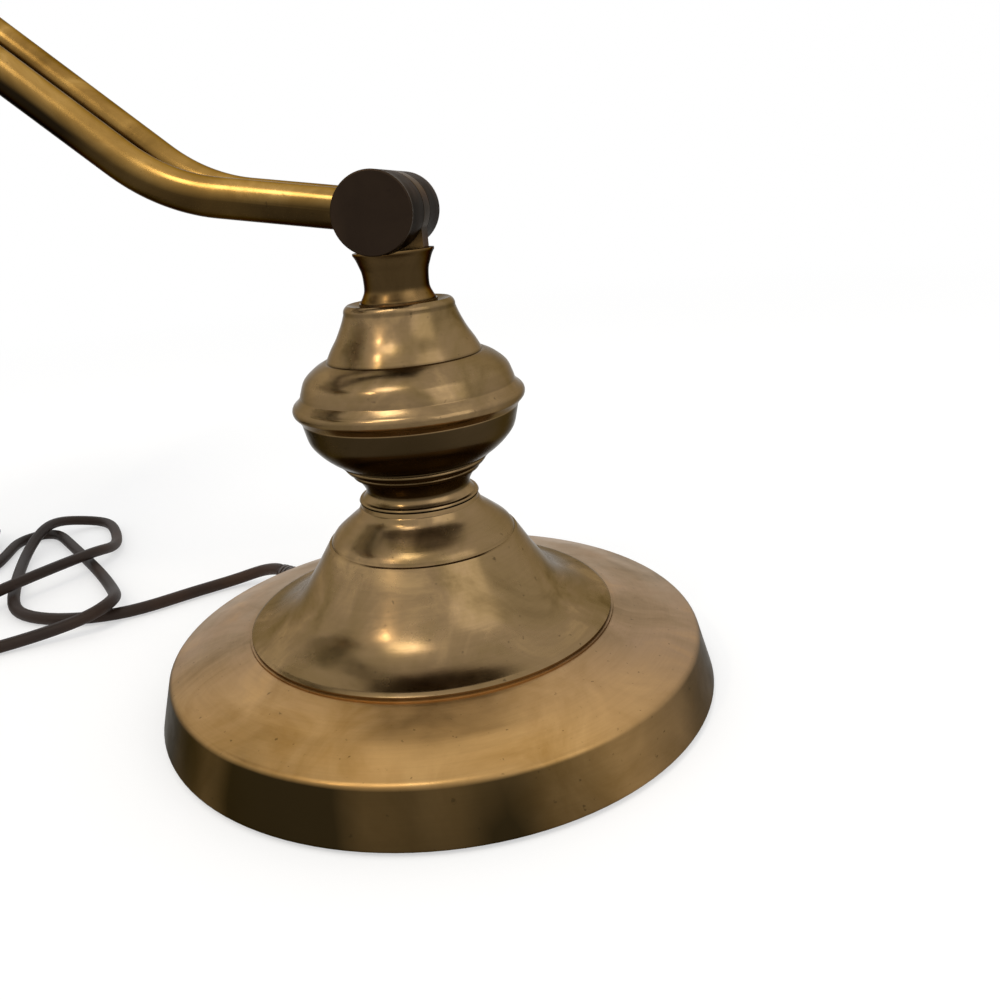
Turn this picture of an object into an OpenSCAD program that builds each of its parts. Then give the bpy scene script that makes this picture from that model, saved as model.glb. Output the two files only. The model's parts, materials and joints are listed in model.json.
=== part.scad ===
// Bankers lamp: weighted brass base, turned stem, double-tube arm on a friction knuckle and a
// green glass shade on a second knuckle, with its lamp cord lying beside it.
// Millimetres. +Z is up, the origin is the middle of the foot on the table, both knuckles turn
// about axes along Y, and the arm leaves the stem towards -X.

/* [Base] */
// Outside diameter of the rim at the table
base_d = 158.8; // [140:0.2:190]
// How far the upper shoulder of the rim lies inside the rim
shoulder_in = 4; // [2:0.1:8]
// Height of the shoulder above the table
shoulder_h = 15.8; // [12:0.1:22]
// Diameter of the foot of the cone
cone_d = 103.6; // [92:0.2:116]
// Height of the seat of the cone above the table
cone_seat_h = 22; // [19:0.1:27]
// Thickness of the spun brass sheet
sheet_t = 1.2; // [0.9:0.1:1.6]
// Thickness of the felt under the weight
felt_t = 2; // [1.5:0.1:3]
// Height of the rim's lower edge above the table
rim_lift = 0.6; // [0.3:0.1:1]

/* [Stem] */
// Height of the spun cone above its seat
cone_h = 34.4; // [31:0.1:40]
// Diameter of the top of the cone
cone_top_d = 33.2; // [31:0.1:36]
// Height of the turned spool
spool_h = 11.6; // [10.5:0.1:14]
// Height of the lower half of the ball
ball_low_h = 13.2; // [12:0.1:15]
// Height of the upper half of the ball
ball_up_h = 15.1; // [14:0.1:17]
// Diameter of the bead round the ball
bead_d = 63.2; // [61.5:0.1:66]
// Height of the bell
bell_h = 14.3; // [13:0.1:17]
// Height of the neck from the bell to the underside of the knuckle
neck_h = 12.5; // [12:0.1:16]
// Diameter of the narrowest part of the neck
neck_d = 17.2; // [16:0.1:19]
// Diameter of the hollow threaded rod
rod_d = 10; // [9.5:0.1:10.5]
// Bore of the hollow threaded rod
rod_bore = 6; // [5:0.1:6.5]

/* [Knuckles] */
// Diameter of the knuckle barrels and lugs
knuckle_d = 20; // [19:0.1:23]
// Length of a knuckle over its caps
knuckle_len = 40; // [39:0.2:46]
// Thickness of a centre lug
lug_t = 8; // [6:0.1:9]
// Thickness of a friction washer
washer_t = 0.5; // [0.3:0.1:1]
// Diameter of a knuckle bolt
bolt_d = 6; // [5:0.1:7]
// Radial clearance of a bolt in the lug that turns on it
run_fit = 0.05; // [0.03:0.01:0.09]
// Thickness of a cap on the end of a knuckle
cap_t = 1.4; // [1:0.1:2]

/* [Arm] */
// Outside diameter of an arm tube
tube_d = 10; // [9:0.1:10.6]
// Wall of an arm tube
tube_wall = 0.8; // [0.6:0.1:1.2]
// Distance between the middles of the two tubes
tube_gap = 24; // [23:0.1:25]
// Angle of the tube ends above the horizontal
end_angle = 10; // [5:0.5:15]
// Angle of the long run above the horizontal
run_angle = 41; // [30:0.5:50]
// Length from a knuckle axis to the start of a bend
end_len = 40.7; // [35:0.1:50]
// Length of the long run between the bends
run_len = 110; // [90:1:150]
// Bend radius at the middle of a tube
bend_r = 51; // [40:1:60]

/* [Shade] */
// Length of the glass shade
shade_len = 216; // [204:1:240]
// Outside radius of the glass trough
shade_r = 61.5; // [60.5:0.1:64]
// Thickness of the cased glass
glass_t = 3.5; // [3:0.1:4]
// Radius of the rounded ends of the glass
glass_round = 22; // [16:1:26]
// Angle of the back lip above the middle of the trough
back_lip = 24; // [22:0.5:30]
// Angle of the front lip below the middle of the trough
front_lip = 5; // [0:0.5:8]
// Width of the saddle strap
strap_w = 16; // [14:0.5:20]
// Thickness of the saddle strap
strap_t = 3; // [2.5:0.1:3.5]
// Thickness of the felt cushion between strap and glass
cushion_t = 1; // [0.8:0.1:1.4]
// Diameter of the screws that clamp the glass
clamp_d = 4; // [3.5:0.1:4.5]

/* [Socket and bulb] */
// Diameter of the socket shell
socket_d = 36; // [34:0.2:38]
// Length of the straight part of the socket shell
socket_len = 38; // [34:0.5:42]
// Diameter of the tubular bulb
bulb_d = 32; // [30:0.2:33]
// Length of the bulb's glass beyond the socket shell
bulb_len = 112; // [95:1:124]
// Diameter of the turn knob
knob_d = 13; // [11:0.2:15]

/* [Cord] */
// Diameter of the lamp cord
cord_d = 4.6; // [4.4:0.1:4.8]
// Length of a straight run of the hank
hank_run = 70; // [69:1:72]
// Radius of the widest fold of the hank
hank_r = 25; // [25:0.2:26]
// Width of the plug body
plug_w = 21; // [19:0.5:22]
// Length of the plug body
plug_len = 27; // [24:0.5:30]

/* [Hidden] */
$fn = 96;

brass = [0.60, 0.45, 0.22];
dark_brass = [0.38, 0.28, 0.16];
steel = [0.6, 0.6, 0.62];

// Fits
slip = 0.15;      // radial play of a part threaded over the rod or a bolt that holds it
seat_gap = 0.3;   // play between curved pieces that don't turn on each other
eps = 0.02;       // small overshoot of cuts

// Heights of the stack
cone_z = cone_seat_h;
spool_z = cone_z + cone_h;
ball_z = spool_z + spool_h;
belt_z = ball_z + ball_low_h;
bell_z = belt_z + ball_up_h;
neck_z = bell_z + bell_h;
knuckle_r = knuckle_d / 2;
arm_z = neck_z + neck_h + knuckle_r;

// Base
base_r = base_d / 2;
shoulder_r = base_r - shoulder_in;
cone_r = cone_d / 2;
rod_r = rod_d / 2;
weight_well_r = 17;
weight_well_h = 10;
washer_r = 14;
clamp_t = 2;
nut_h = 6;
nut_flats = 16;
thread_spare = 1;

// Knuckles
lug_half = lug_t / 2;
barrel_in = lug_half + washer_t;
barrel_out = knuckle_len / 2 - cap_t;
bolt_r = bolt_d / 2;
head_r = 5.6;
head_t = 3.2;
small_nut_h = 4;
pocket_r = 6.2;
pocket_in = barrel_out - 5.2;
tube_r = tube_d / 2;
tube_end = 6.6;    // how near the knuckle axis a tube reaches
lap = 0.5;         // lap of a straight run into a bend
lap_play = 0.03;   // play in the wall there

// Arm line: from the lower knuckle axis to the upper one
bend_angle = run_angle - end_angle;
function along(len, a) = [-len * cos(a), 0, len * sin(a)];
bend_span = 2 * bend_r * sin(bend_angle / 2);
mid_angle = (end_angle + run_angle) / 2;
arm_pos = [0, 0, arm_z];
bend_one = arm_pos + along(end_len, end_angle);
run_start = bend_one + along(bend_span, mid_angle);
run_end = run_start + along(run_len, run_angle);
bend_two = run_end + along(bend_span, mid_angle);
shade_pos = bend_two + along(end_len, end_angle);

// Shade: middle of the trough, socket axis
trough_pos = shade_pos + [-30, 0, -8];
glass_in_r = shade_r - glass_t;
socket_pos = trough_pos + [-8, 0, 26];
socket_r = socket_d / 2;
strap_out_r = glass_in_r - cushion_t;
strap_in_r = strap_out_r - strap_t;
screw_angles = [71, 103];
strap_from = 50;
strap_to = 114;
clamp_r = clamp_d / 2;
socket_y = -84;      // outer end of the socket cap
ear_t = 2;
ear_y = socket_y - ear_t;
cap_len = 14;
shell_y = socket_y + cap_len;
shell_end = shell_y + socket_len;
bracket_x = shade_pos[0] - 11;
knob_y = shell_y + 12;
knob_shaft_r = 2.4;

// Cord
cord_r = cord_d / 2;
cord_z = cord_r;
layer_h = cord_d + 0.6;
hank_step = 6;
hank_mid = [-248, 68.5];
hank_turns = 3.66;
hank_pinch = 12;
tie_w = 7;
tie_t = 0.5;
exit_angle = 138;
exit_z = 7.6;
bushing_out = 15;
bushing_r = 3.9;

// Route of the lead from the bushing to the hank: centre of the cord. It loops over itself
// beside the base and twice leaves to the left.
lead_route = [[-72.2, 65, 7.6], [-80.5, 69.5, 5.2], [-91, 67.5, 2.5], [-105, 56, 2.3],
    [-121.5, 41, 2.3], [-143, 35.5, 2.3], [-163, 39.5, 2.3], [-178, 54.5, 2.3], [-200, 96, 2.7],
    [-204, 117, 7.4], [-203.5, 130, 7.2], [-197.5, 139.8, 4], [-187.5, 141, 2.4],
    [-178, 133, 2.3], [-167, 116, 2.3], [-161.8, 102, 4.2], [-162.5, 86.5, 7.7],
    [-179.5, 52, 7.6], [-190, 39, 4.6], [-203.5, 37, 2.5], [-212.5, 48, 2.3], [-212, 67, 2.3],
    [-209, 86, 2.3], [-213, 103, 2.3], [-216.5, 116.5, 2.3], [-211.5, 125.5, 2.3],
    [-202, 125.5, 2.3], [-189, 113.5, 2.3], [-171, 95.5, 2.3], [-153, 77, 2.3],
    [-136.5, 57, 3.9], [-126.5, 41, 7.7], [-128, 30.5, 7.3], [-138, 25, 4.6], [-155, 16, 2.3],
    [-175, 4, 2.3], [-208, 3.5, 2.3]];
// Route of the tail from the hank to the plug, over the lead
tail_route = [[-230.6, 79.5, 7.6], [-230.9, 73, 7.6], [-229.8, 66, 7.6], [-227.2, 57.5, 7.6],
    [-224, 49, 7.6], [-221.6, 40, 7.5], [-220.8, 30, 7.5], [-221, 20, 7.4], [-221.5, 10, 7.4]];
plug_pos = [-222, -5, 7];

// Curve through points, with n steps between neighbours
function between(a, b, c, d, t) = 0.5 * ((2 * b) + (c - a) * t
    + (2 * a - 5 * b + 4 * c - d) * t * t + (3 * b - a - 3 * c + d) * t * t * t);
function curve(p, n) = [for (i = [0 : len(p) - 2], k = [0 : n - 1])
    between(p[max(i - 1, 0)], p[i], p[i + 1], p[min(i + 2, len(p) - 1)], k / n),
    p[len(p) - 1]];
function reversed(p) = [for (i = [len(p) - 1 : -1 : 0]) p[i]];
function arc(c, r, a0, a1, n) = [for (i = [0 : n])
    c + r * [cos(a0 + (a1 - a0) * i / n), sin(a0 + (a1 - a0) * i / n)]];
function unit(v) = v / norm(v);

// Sheet of thickness t on the inner side of an outline that runs upwards on a turned shell; it is
// cut off level at both ends
function inward(p, t) = [for (i = [0 : len(p) - 1])
    let (end = i == 0 || i == len(p) - 1,
        d = end ? [0, 1] : unit(p[i + 1] - p[i - 1])) p[i] + t * [-d[1], d[0]]];
function sheet(p, t) = concat(p, reversed(inward(p, t)));

// Ring plate with its underside at z
module plate(r_out, r_in, z, t) {
    translate([0, 0, z]) difference() {
        cylinder(r = r_out, h = t);
        translate([0, 0, -eps]) cylinder(r = r_in, h = t + 2 * eps);
    }
}

// Cylinder along +Y from y0 to y1 with its axis through pos
module rod_y(pos, r, y0, y1) {
    translate([pos[0], y1, pos[2]]) rotate([90, 0, 0]) cylinder(r = r, h = y1 - y0);
}

// Base

// Outline of the spun base, from the rim up to the seat of the cone
shoulder_round = 2.2;
slope_angle = atan((cone_seat_h - shoulder_h) / (shoulder_r - cone_r));
wall_angle = atan((shoulder_h - rim_lift) / (base_r - shoulder_r));
rim_bead = 1.1;
rim_arc = arc([base_r - rim_bead, rim_lift + rim_bead], rim_bead, -60, 15, 6);
shoulder_arc = arc([shoulder_r - shoulder_round * 0.72, shoulder_h - shoulder_round],
    shoulder_round, 90 - wall_angle, 90 - slope_angle, 8);
base_outline = concat(rim_arc, shoulder_arc,
    curve([[cone_r + 14, cone_seat_h - 14 * tan(slope_angle) + 0.4],
        [cone_r + 6, cone_seat_h - 1.6], [cone_r + 1.2, cone_seat_h - 0.4],
        [cone_r + 0.5, cone_seat_h - 0.9]], 3));

// Radius of the sloping wall at height z
wall_low = rim_arc[len(rim_arc) - 1];
wall_high = shoulder_arc[0];
function wall_at(z) = wall_low[0]
    + (wall_high[0] - wall_low[0]) * (z - wall_low[1]) / (wall_high[1] - wall_low[1]);

module base_shell() {
    color(brass) difference() {
        union() {
            rotate_extrude() polygon(sheet(base_outline, sheet_t));
            plate(cone_r + 0.6, rod_r + slip, cone_seat_h - sheet_t, sheet_t);
        }
        cord_hole(bushing_r + 0.1);
    }
}

// Way of the cord out of the base
module cord_hole(r) {
    rotate([0, 0, exit_angle]) translate([shoulder_r - 8, 0, exit_z]) rotate([0, 90, 0])
        cylinder(r = r, h = 20, $fn = 48);
}

// Cast weight, a little clear of the sheet above it
weight_r = shoulder_r - sheet_t - 2.4;
weight_top = cone_seat_h - sheet_t - 0.05;
module base_weight() {
    color([0.2, 0.2, 0.21]) difference() {
        rotate_extrude() polygon([
            [rod_r + slip, felt_t], [weight_r, felt_t],
            [weight_r, shoulder_h - sheet_t - 2.6],
            [cone_r + 2, cone_seat_h - sheet_t - 2.8],
            [cone_r - 4, weight_top], [rod_r + slip, weight_top]]);
        translate([0, 0, felt_t - eps]) cylinder(r = weight_well_r, h = weight_well_h + eps);
        // channel for the cord from the well to the bushing
        rotate([0, 0, exit_angle]) translate([0, 0, exit_z]) rotate([0, 90, 0])
            cylinder(r = bushing_r + 0.6, h = base_r, $fn = 48);
    }
}

module felt_pad() {
    color([0.16, 0.2, 0.15]) cylinder(r = weight_r - 1.5, h = felt_t);
}

well_top = felt_t + weight_well_h;
module clamp_washer() {
    color(steel) plate(washer_r, rod_r + slip, well_top - clamp_t, clamp_t);
}

nut_z = well_top - clamp_t - nut_h;
module hex_nut(flats, bore_r, h) {
    difference() {
        cylinder(d = flats / cos(30), h = h, $fn = 6);
        translate([0, 0, -eps]) cylinder(r = bore_r, h = h + 2 * eps);
    }
}
module clamp_nut() {
    color(steel) translate([0, 0, nut_z]) hex_nut(nut_flats, rod_r, nut_h);
}

// The rod ends inside the neck, under the lug
rod_top = neck_z + 6;
module threaded_rod() {
    color(steel) plate(rod_r, rod_bore / 2, nut_z - thread_spare, rod_top - nut_z + thread_spare);
}

// Stem

// Ogee cone: foot, concave flare, step, convex cap
step_r = 25.9;
step_z = cone_z + cone_h - 10.8;
cone_outline = concat(
    [[cone_r, cone_z], [cone_r, cone_z + 0.7]],
    curve([[cone_r - 0.8, cone_z + 1.3], [cone_r - 6.5, cone_z + 2.7],
        [cone_r - 13.5, cone_z + 6.8], [step_r + 6.6, step_z - 9.4],
        [step_r + 2.6, step_z - 3.2], [step_r + 0.9, step_z - 0.5]], 5),
    [[step_r + 0.2, step_z - 0.3]],
    curve([[step_r, step_z + 0.4], [step_r - 1.4, step_z + 2.2], [step_r - 4.9, step_z + 5],
        [cone_top_d / 2 + 1.4, spool_z - 3.4], [cone_top_d / 2 + 0.2, spool_z - 1.4]], 4),
    [[cone_top_d / 2, spool_z - sheet_t]]);
module base_cone() {
    color(brass) union() {
        rotate_extrude() polygon(sheet(cone_outline, sheet_t));
        plate(cone_top_d / 2, rod_r + slip, spool_z - sheet_t, sheet_t);
    }
}

// Second weight inside the cone, clear of its sheet
cone_weight_top_r = step_r - 6;
module cone_weight() {
    color([0.2, 0.2, 0.21]) rotate_extrude() polygon([
        [rod_r + slip, cone_z], [step_r + 12, cone_z], [step_r + 3.5, step_z - 13],
        [cone_weight_top_r, step_z], [cone_weight_top_r - 3, step_z + 3],
        [rod_r + slip, step_z + 3]]);
}

// Spool: ring, cove, then two step rings under the ball
cove_r = 14.5;
spool_low_r = cone_top_d / 2 + 0.2;
module stem_spool() {
    color(brass) rotate_extrude() polygon(concat(
        [[rod_r + slip, spool_z], [spool_low_r - 0.6, spool_z]],
        curve([[spool_low_r, spool_z + 0.5], [spool_low_r - 0.3, spool_z + 1]], 2),
        curve([[spool_low_r - 1.1, spool_z + 1.2], [cove_r + 0.4, spool_z + 2.2],
            [cove_r, spool_z + 3.5], [cove_r + 0.8, spool_z + 5.4],
            [cove_r + 2.2, spool_z + 7.4]], 4),
        curve([[cove_r + 3.1, ball_z - 3.8], [cove_r + 3.5, ball_z - 3],
            [cove_r + 3.1, ball_z - 2.3]], 3),
        curve([[cove_r + 4.6, ball_z - 2.1], [cove_r + 5.3, ball_z - 1.1],
            [cove_r + 4.9, ball_z - 0.2]], 3),
        [[cove_r + 4.4, ball_z], [rod_r + slip, ball_z]]));
}

// Ball in two spun halves; the upper one carries the bead
ball_r = 29.6;
ball_foot_r = 20.4;
ball_low_outline = curve([[ball_foot_r, ball_z], [ball_foot_r + 2.8, ball_z + 1.9],
    [ball_r - 3.8, ball_z + 4.2], [ball_r - 1.5, ball_z + 7.2], [ball_r - 0.5, belt_z - 2.4],
    [ball_r, belt_z]], 4);
module ball_lower() {
    color(brass) union() {
        rotate_extrude() polygon(sheet(ball_low_outline, sheet_t));
        plate(ball_foot_r + 0.4, rod_r + slip, ball_z, sheet_t);
    }
}

bead_r = bead_d / 2;
dome_top_r = 21.4;
ball_up_outline = concat(
    [[ball_r + 0.1, belt_z]],
    arc([bead_r - 2.1, belt_z + 3.1], 2.1, -62, 68, 8),
    curve([[ball_r - 0.4, belt_z + 6.3], [ball_r - 0.9, belt_z + 8], [ball_r - 2.2, belt_z + 11],
        [ball_r - 5.2, belt_z + 13.6], [dome_top_r + 0.6, bell_z - 0.25]], 4),
    [[dome_top_r, bell_z]]);
module ball_upper() {
    color(brass) union() {
        rotate_extrude() polygon(sheet(ball_up_outline, sheet_t));
        plate(dome_top_r, rod_r + slip, bell_z - sheet_t, sheet_t);
    }
}

// Bell: straight-sided skirt with a rounded shoulder
bell_low_r = 21;
bell_top_r = 14.9;
bell_outline = concat(
    curve([[bell_low_r, bell_z], [bell_low_r - 1.6, bell_z + 3], [bell_low_r - 3.5, bell_z + 6],
        [bell_top_r + 0.9, neck_z - 4.8], [bell_top_r, neck_z - 2.4]], 4),
    arc([bell_top_r - 2.2, neck_z - 2.1], 2.2, 8, 62, 6),
    [[10.4, neck_z - sheet_t]]);
module stem_bell() {
    color(brass) union() {
        rotate_extrude() polygon(sheet(bell_outline, sheet_t));
        plate(10.4, rod_r + slip, neck_z - sheet_t, sheet_t);
    }
}

// Neck with the centre lug of the knuckle
neck_r = neck_d / 2;
flare_r = 10.7;
flare_z = arm_z - knuckle_r;
web_half = 8.8;
module stem_neck() {
    color(brass) difference() {
        union() {
            difference() {
                rotate_extrude() polygon(concat(
                    [[0, neck_z], [neck_r + 1.4, neck_z]],
                    curve([[neck_r + 1.4, neck_z + 0.3], [neck_r + 0.7, neck_z + 1.5],
                        [neck_r + 0.1, neck_z + 3], [neck_r, neck_z + 5],
                        [neck_r + 0.2, neck_z + 7.6], [neck_r + 0.8, flare_z - 3],
                        [flare_r - 0.7, flare_z - 1.4], [flare_r, flare_z - 0.2]], 4),
                    [[flare_r, flare_z + 0.3], [0, flare_z + 0.3]]));
                rod_y(arm_pos, knuckle_r + seat_gap, -20, -lug_half);
                rod_y(arm_pos, knuckle_r + seat_gap, lug_half, 20);
            }
            translate([-web_half, -lug_half, flare_z - 2])
                cube([2 * web_half, lug_t, knuckle_r + 2]);
            rod_y(arm_pos, knuckle_r, -lug_half, lug_half);
        }
        translate([0, 0, neck_z - eps]) cylinder(r = rod_r, h = rod_top - neck_z + 0.4);
        rod_y(arm_pos, bolt_r + run_fit, -20, 20);
    }
}

// Tapered strain relief where the cord leaves the base
bushing_in = 6;
flange_r = bushing_r + 1.3;
flange_x = wall_at(exit_z - flange_r) - wall_at(exit_z) + 0.15;
flange_t = 1.4;
module cord_bushing() {
    color([0.12, 0.08, 0.06]) rotate([0, 0, exit_angle]) translate([wall_at(exit_z), 0, exit_z])
        rotate([0, 90, 0]) rotate_extrude($fn = 48) polygon([
            [cord_r + 0.05, -bushing_in], [bushing_r - 0.5, -bushing_in],
            [bushing_r, 1 - bushing_in], [bushing_r, flange_x - 0.3], [flange_r, flange_x],
            [flange_r, flange_x + flange_t], [bushing_r + 0.5, flange_x + flange_t + 0.6],
            [bushing_r - 0.4, flange_x + flange_t + 1], [cord_r + 0.6, bushing_out],
            [cord_r + 0.05, bushing_out]]);
}

// Knuckles

// One outer barrel on the side of s (-1 front, 1 rear), with its tube socket towards a
module barrel(pos, s, a) {
    y0 = s > 0 ? barrel_in : -barrel_out;
    y1 = s > 0 ? barrel_out : -barrel_in;
    py0 = s > 0 ? pocket_in : -barrel_out - eps;
    py1 = s > 0 ? barrel_out + eps : -pocket_in;
    color(dark_brass) difference() {
        rod_y(pos, knuckle_r, y0, y1);
        rod_y(pos, bolt_r + 0.1, -30, 30);
        rod_y(pos, pocket_r, py0, py1);
        translate([pos[0], s * tube_gap / 2, pos[2]]) rotate([0, -90 + a, 0])
            translate([0, 0, tube_end]) cylinder(r = tube_r, h = 20);
    }
}
module front_arm_knuckle() { barrel(arm_pos, -1, end_angle); }
module rear_arm_knuckle() { barrel(arm_pos, 1, end_angle); }
module front_shade_knuckle() { barrel(shade_pos, -1, 180 + end_angle); }
module rear_shade_knuckle() { barrel(shade_pos, 1, 180 + end_angle); }

// Hollow straight piece that starts at p with heading a, and laps into the bends at its ends
module straight(p, a, h, lap_in, lap_out) {
    translate(p + along(-lap_in, a)) rotate([0, -90 + a, 0]) difference() {
        cylinder(r = tube_r - lap_play, h = h + lap_in + lap_out);
        translate([0, 0, -eps])
            cylinder(r = tube_r - tube_wall + lap_play, h = h + lap_in + lap_out + 2 * eps);
    }
}
// Hollow bend that starts at p with heading a and turns by turn, upwards when positive
module bend(p, a, turn) {
    side = turn > 0 ? 1 : -1;
    translate(p) rotate([90, 0, 0]) rotate([0, 0, 180 - a]) translate([0, -side * bend_r, 0])
        rotate([0, 0, side > 0 ? 90 - turn : -90])
        rotate_extrude(angle = abs(turn)) translate([bend_r, 0]) difference() {
            circle(r = tube_r);
            circle(r = tube_r - tube_wall);
        }
}
module arm_tube(s) {
    color(brass) translate([0, s * tube_gap / 2, 0]) union() {
        straight(arm_pos + along(tube_end, end_angle), end_angle, end_len - tube_end, 0, lap);
        bend(bend_one, end_angle, bend_angle);
        straight(run_start, run_angle, run_len, lap, lap);
        bend(run_end, run_angle, -bend_angle);
        straight(bend_two, end_angle, end_len - tube_end, lap, 0);
    }
}
module front_tube() { arm_tube(-1); }
module rear_tube() { arm_tube(1); }

// Bolt with its head in the front pocket, nut in the rear pocket
module knuckle_bolt(pos) {
    color(steel) difference() {
        union() {
            rod_y(pos, bolt_r, -pocket_in - eps, pocket_in + small_nut_h + 0.6);
            rod_y(pos, head_r, -pocket_in - head_t, -pocket_in);
        }
        translate([pos[0] - 0.6, -pocket_in - head_t - eps, pos[2] - head_r])
            cube([1.2, 1.2, 2 * head_r]);
    }
}
module knuckle_nut(pos) {
    color(steel) translate([pos[0], pocket_in + small_nut_h, pos[2]]) rotate([90, 0, 0])
        hex_nut(10, bolt_r, small_nut_h);
}
// Friction washers on both sides of a lug
module knuckle_washers(pos) {
    color(steel) for (y = [-barrel_in, lug_half]) difference() {
        rod_y(pos, knuckle_r - 0.8, y, y + washer_t);
        rod_y(pos, bolt_r + 0.1, y - 1, y + washer_t + 1);
    }
}
// Domed caps that close both ends of a knuckle
module knuckle_caps(pos) {
    color(dark_brass) for (s = [-1, 1]) translate([pos[0], s * barrel_out, pos[2]])
        rotate([-90 * s, 0, 0]) rotate_extrude() polygon(concat([[0, 0], [knuckle_r, 0]],
            arc([knuckle_r - 0.5, cap_t - 0.5], 0.5, 0, 90, 5), [[0, cap_t]]));
}
module arm_bolt() { knuckle_bolt(arm_pos); }
module arm_bolt_nut() { knuckle_nut(arm_pos); }
module arm_washers() { knuckle_washers(arm_pos); }
module arm_caps() { knuckle_caps(arm_pos); }
module shade_bolt() { knuckle_bolt(shade_pos); }
module shade_bolt_nut() { knuckle_nut(shade_pos); }
module shade_washers() { knuckle_washers(shade_pos); }
module shade_caps() { knuckle_caps(shade_pos); }

// Shade

// Part of a turned ring about the trough's middle line, between two angles
module trough_arc(r_in, r_out, a0, a1, w) {
    translate([trough_pos[0], w / 2, trough_pos[2]]) rotate([90, 0, 0]) rotate([0, 0, a0])
        rotate_extrude(angle = a1 - a0, $fn = 180) translate([r_in, 0])
            square([r_out - r_in, w]);
}
// Along the radius of the trough at angle a, from radius r
module at_angle(a, r) {
    translate(trough_pos) rotate([0, 90 - a, 0]) translate([0, 0, r]) children();
}
riser_half = 5;
riser_x = shade_pos[0];
module shade_bracket() {
    color(brass) difference() {
        union() {
            rod_y(shade_pos, knuckle_r, -lug_half, lug_half);
            // riser from the lug to the strap
            intersection() {
                translate([riser_x - riser_half, -lug_half, shade_pos[2]])
                    cube([2 * riser_half, lug_t, 50]);
                rod_y(trough_pos, strap_in_r + 1, -20, 20);
            }
            trough_arc(strap_in_r, strap_out_r, strap_from, strap_to, strap_w);
        }
        rod_y(shade_pos, bolt_r + run_fit, -20, 20);
        for (a = screw_angles) at_angle(a, 0) cylinder(r = clamp_r + 0.1, h = shade_r + 5, $fn = 48);
        bracket_holes();
    }
}
// Screws that hold the socket bracket on the riser, along X
bracket_screw_z = [18, 28];
module bracket_holes() {
    for (z = bracket_screw_z) translate([riser_x + riser_half + 1, 0, shade_pos[2] + z])
        rotate([0, -90, 0]) cylinder(r = 1.6, h = 30, $fn = 32);
}

module shade_cushions() {
    color([0.2, 0.2, 0.2]) for (a = screw_angles) difference() {
        intersection() {
            trough_arc(strap_out_r + 0.05, glass_in_r - 0.05, strap_from, strap_to, strap_w);
            at_angle(a, strap_in_r) cylinder(r = 7, h = 20, $fn = 48);
        }
        at_angle(a, strap_in_r) cylinder(r = clamp_r + 0.1, h = 20, $fn = 48);
    }
}

// Turned outline of the trough, cut by the plane through both lips
module trough_solid(r, half, round) {
    translate([trough_pos[0], 0, trough_pos[2]]) rotate([90, 0, 0]) rotate_extrude($fn = 180)
        polygon(concat([[0, -half]], arc([r - round, -half + round], round, -90, 0, 8),
            arc([r - round, half - round], round, 0, 90, 8), [[0, half]]));
}
lip_front = shade_r * [cos(180 + front_lip), sin(180 + front_lip)];
lip_back = shade_r * [cos(back_lip), sin(back_lip)];
lip_slope = atan((lip_back[1] - lip_front[1]) / (lip_back[0] - lip_front[0]));
cut = 4 * shade_r;
module shade_glass() {
    color([0.02, 0.3, 0.12, 0.8]) difference() {
        trough_solid(shade_r, shade_len / 2, glass_round);
        trough_solid(glass_in_r, shade_len / 2 - glass_t, glass_round - glass_t);
        translate(trough_pos + [lip_front[0], 0, lip_front[1]]) rotate([0, -lip_slope, 0])
            translate([-cut / 8, -shade_len, -cut]) cube([cut, 2 * shade_len, cut]);
        for (a = screw_angles) at_angle(a, 0) cylinder(r = clamp_r + 0.6, h = 100, $fn = 48);
    }
}

// Screws from inside the strap out through the glass
screw_head_t = 2.2;
finial_seat = shade_r + 0.25;
finial_h = 11;
module shade_screws() {
    color(brass) for (a = screw_angles) at_angle(a, strap_in_r - screw_head_t - seat_gap) {
        cylinder(r = 3.8, h = screw_head_t, $fn = 48);
        cylinder(r = clamp_r, h = finial_seat - strap_in_r + screw_head_t + 7, $fn = 48);
    }
}
// Ball-top finial nuts outside the glass
module shade_finials() {
    color(brass) for (a = screw_angles) at_angle(a, finial_seat) difference() {
        rotate_extrude($fn = 64) polygon(concat([[0, 0], [6.5, 0], [6.5, 1.2]],
            curve([[5.6, 1.7], [3.6, 2.6], [3, 3.8], [3.4, 4.8]], 3),
            arc([0, 7.2], 3.9, -30, 88, 10), [[0, finial_h]]));
        translate([0, 0, -eps]) cylinder(r = clamp_r, h = 7.2, $fn = 48);
    }
}

// Socket

// Strip along the bulb with an ear that carries the socket
strip_t = 2;
strip_z = 23;
strip_h = 18;
ear_r = 11;
module socket_bracket() {
    color(brass) difference() {
        union() {
            translate([bracket_x, ear_y, shade_pos[2] + strip_z - strip_h / 2])
                cube([strip_t, lug_half + strap_w / 2 - ear_y, strip_h]);
            translate([bracket_x, -lug_half, shade_pos[2] + strip_z - strip_h / 2])
                cube([riser_x - riser_half - bracket_x, lug_t, strip_h]);
            translate([socket_pos[0], ear_y, shade_pos[2] + strip_z - strip_h / 2])
                cube([bracket_x - socket_pos[0] + strip_t, ear_t, strip_h]);
            rod_y(socket_pos, ear_r, ear_y, socket_y);
        }
        rod_y(socket_pos, rod_r + slip, ear_y - 5, socket_y + 5);
        bracket_holes();
    }
}
module bracket_screws() {
    color(steel) for (z = bracket_screw_z)
        translate([riser_x + riser_half, 0, shade_pos[2] + z]) rotate([0, -90, 0]) {
            cylinder(r = 1.5, h = 2 * riser_half + riser_x - riser_half - bracket_x, $fn = 32);
            translate([0, 0, -1.6]) cylinder(r = 2.8, h = 1.6, $fn = 32);
        }
}
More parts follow.
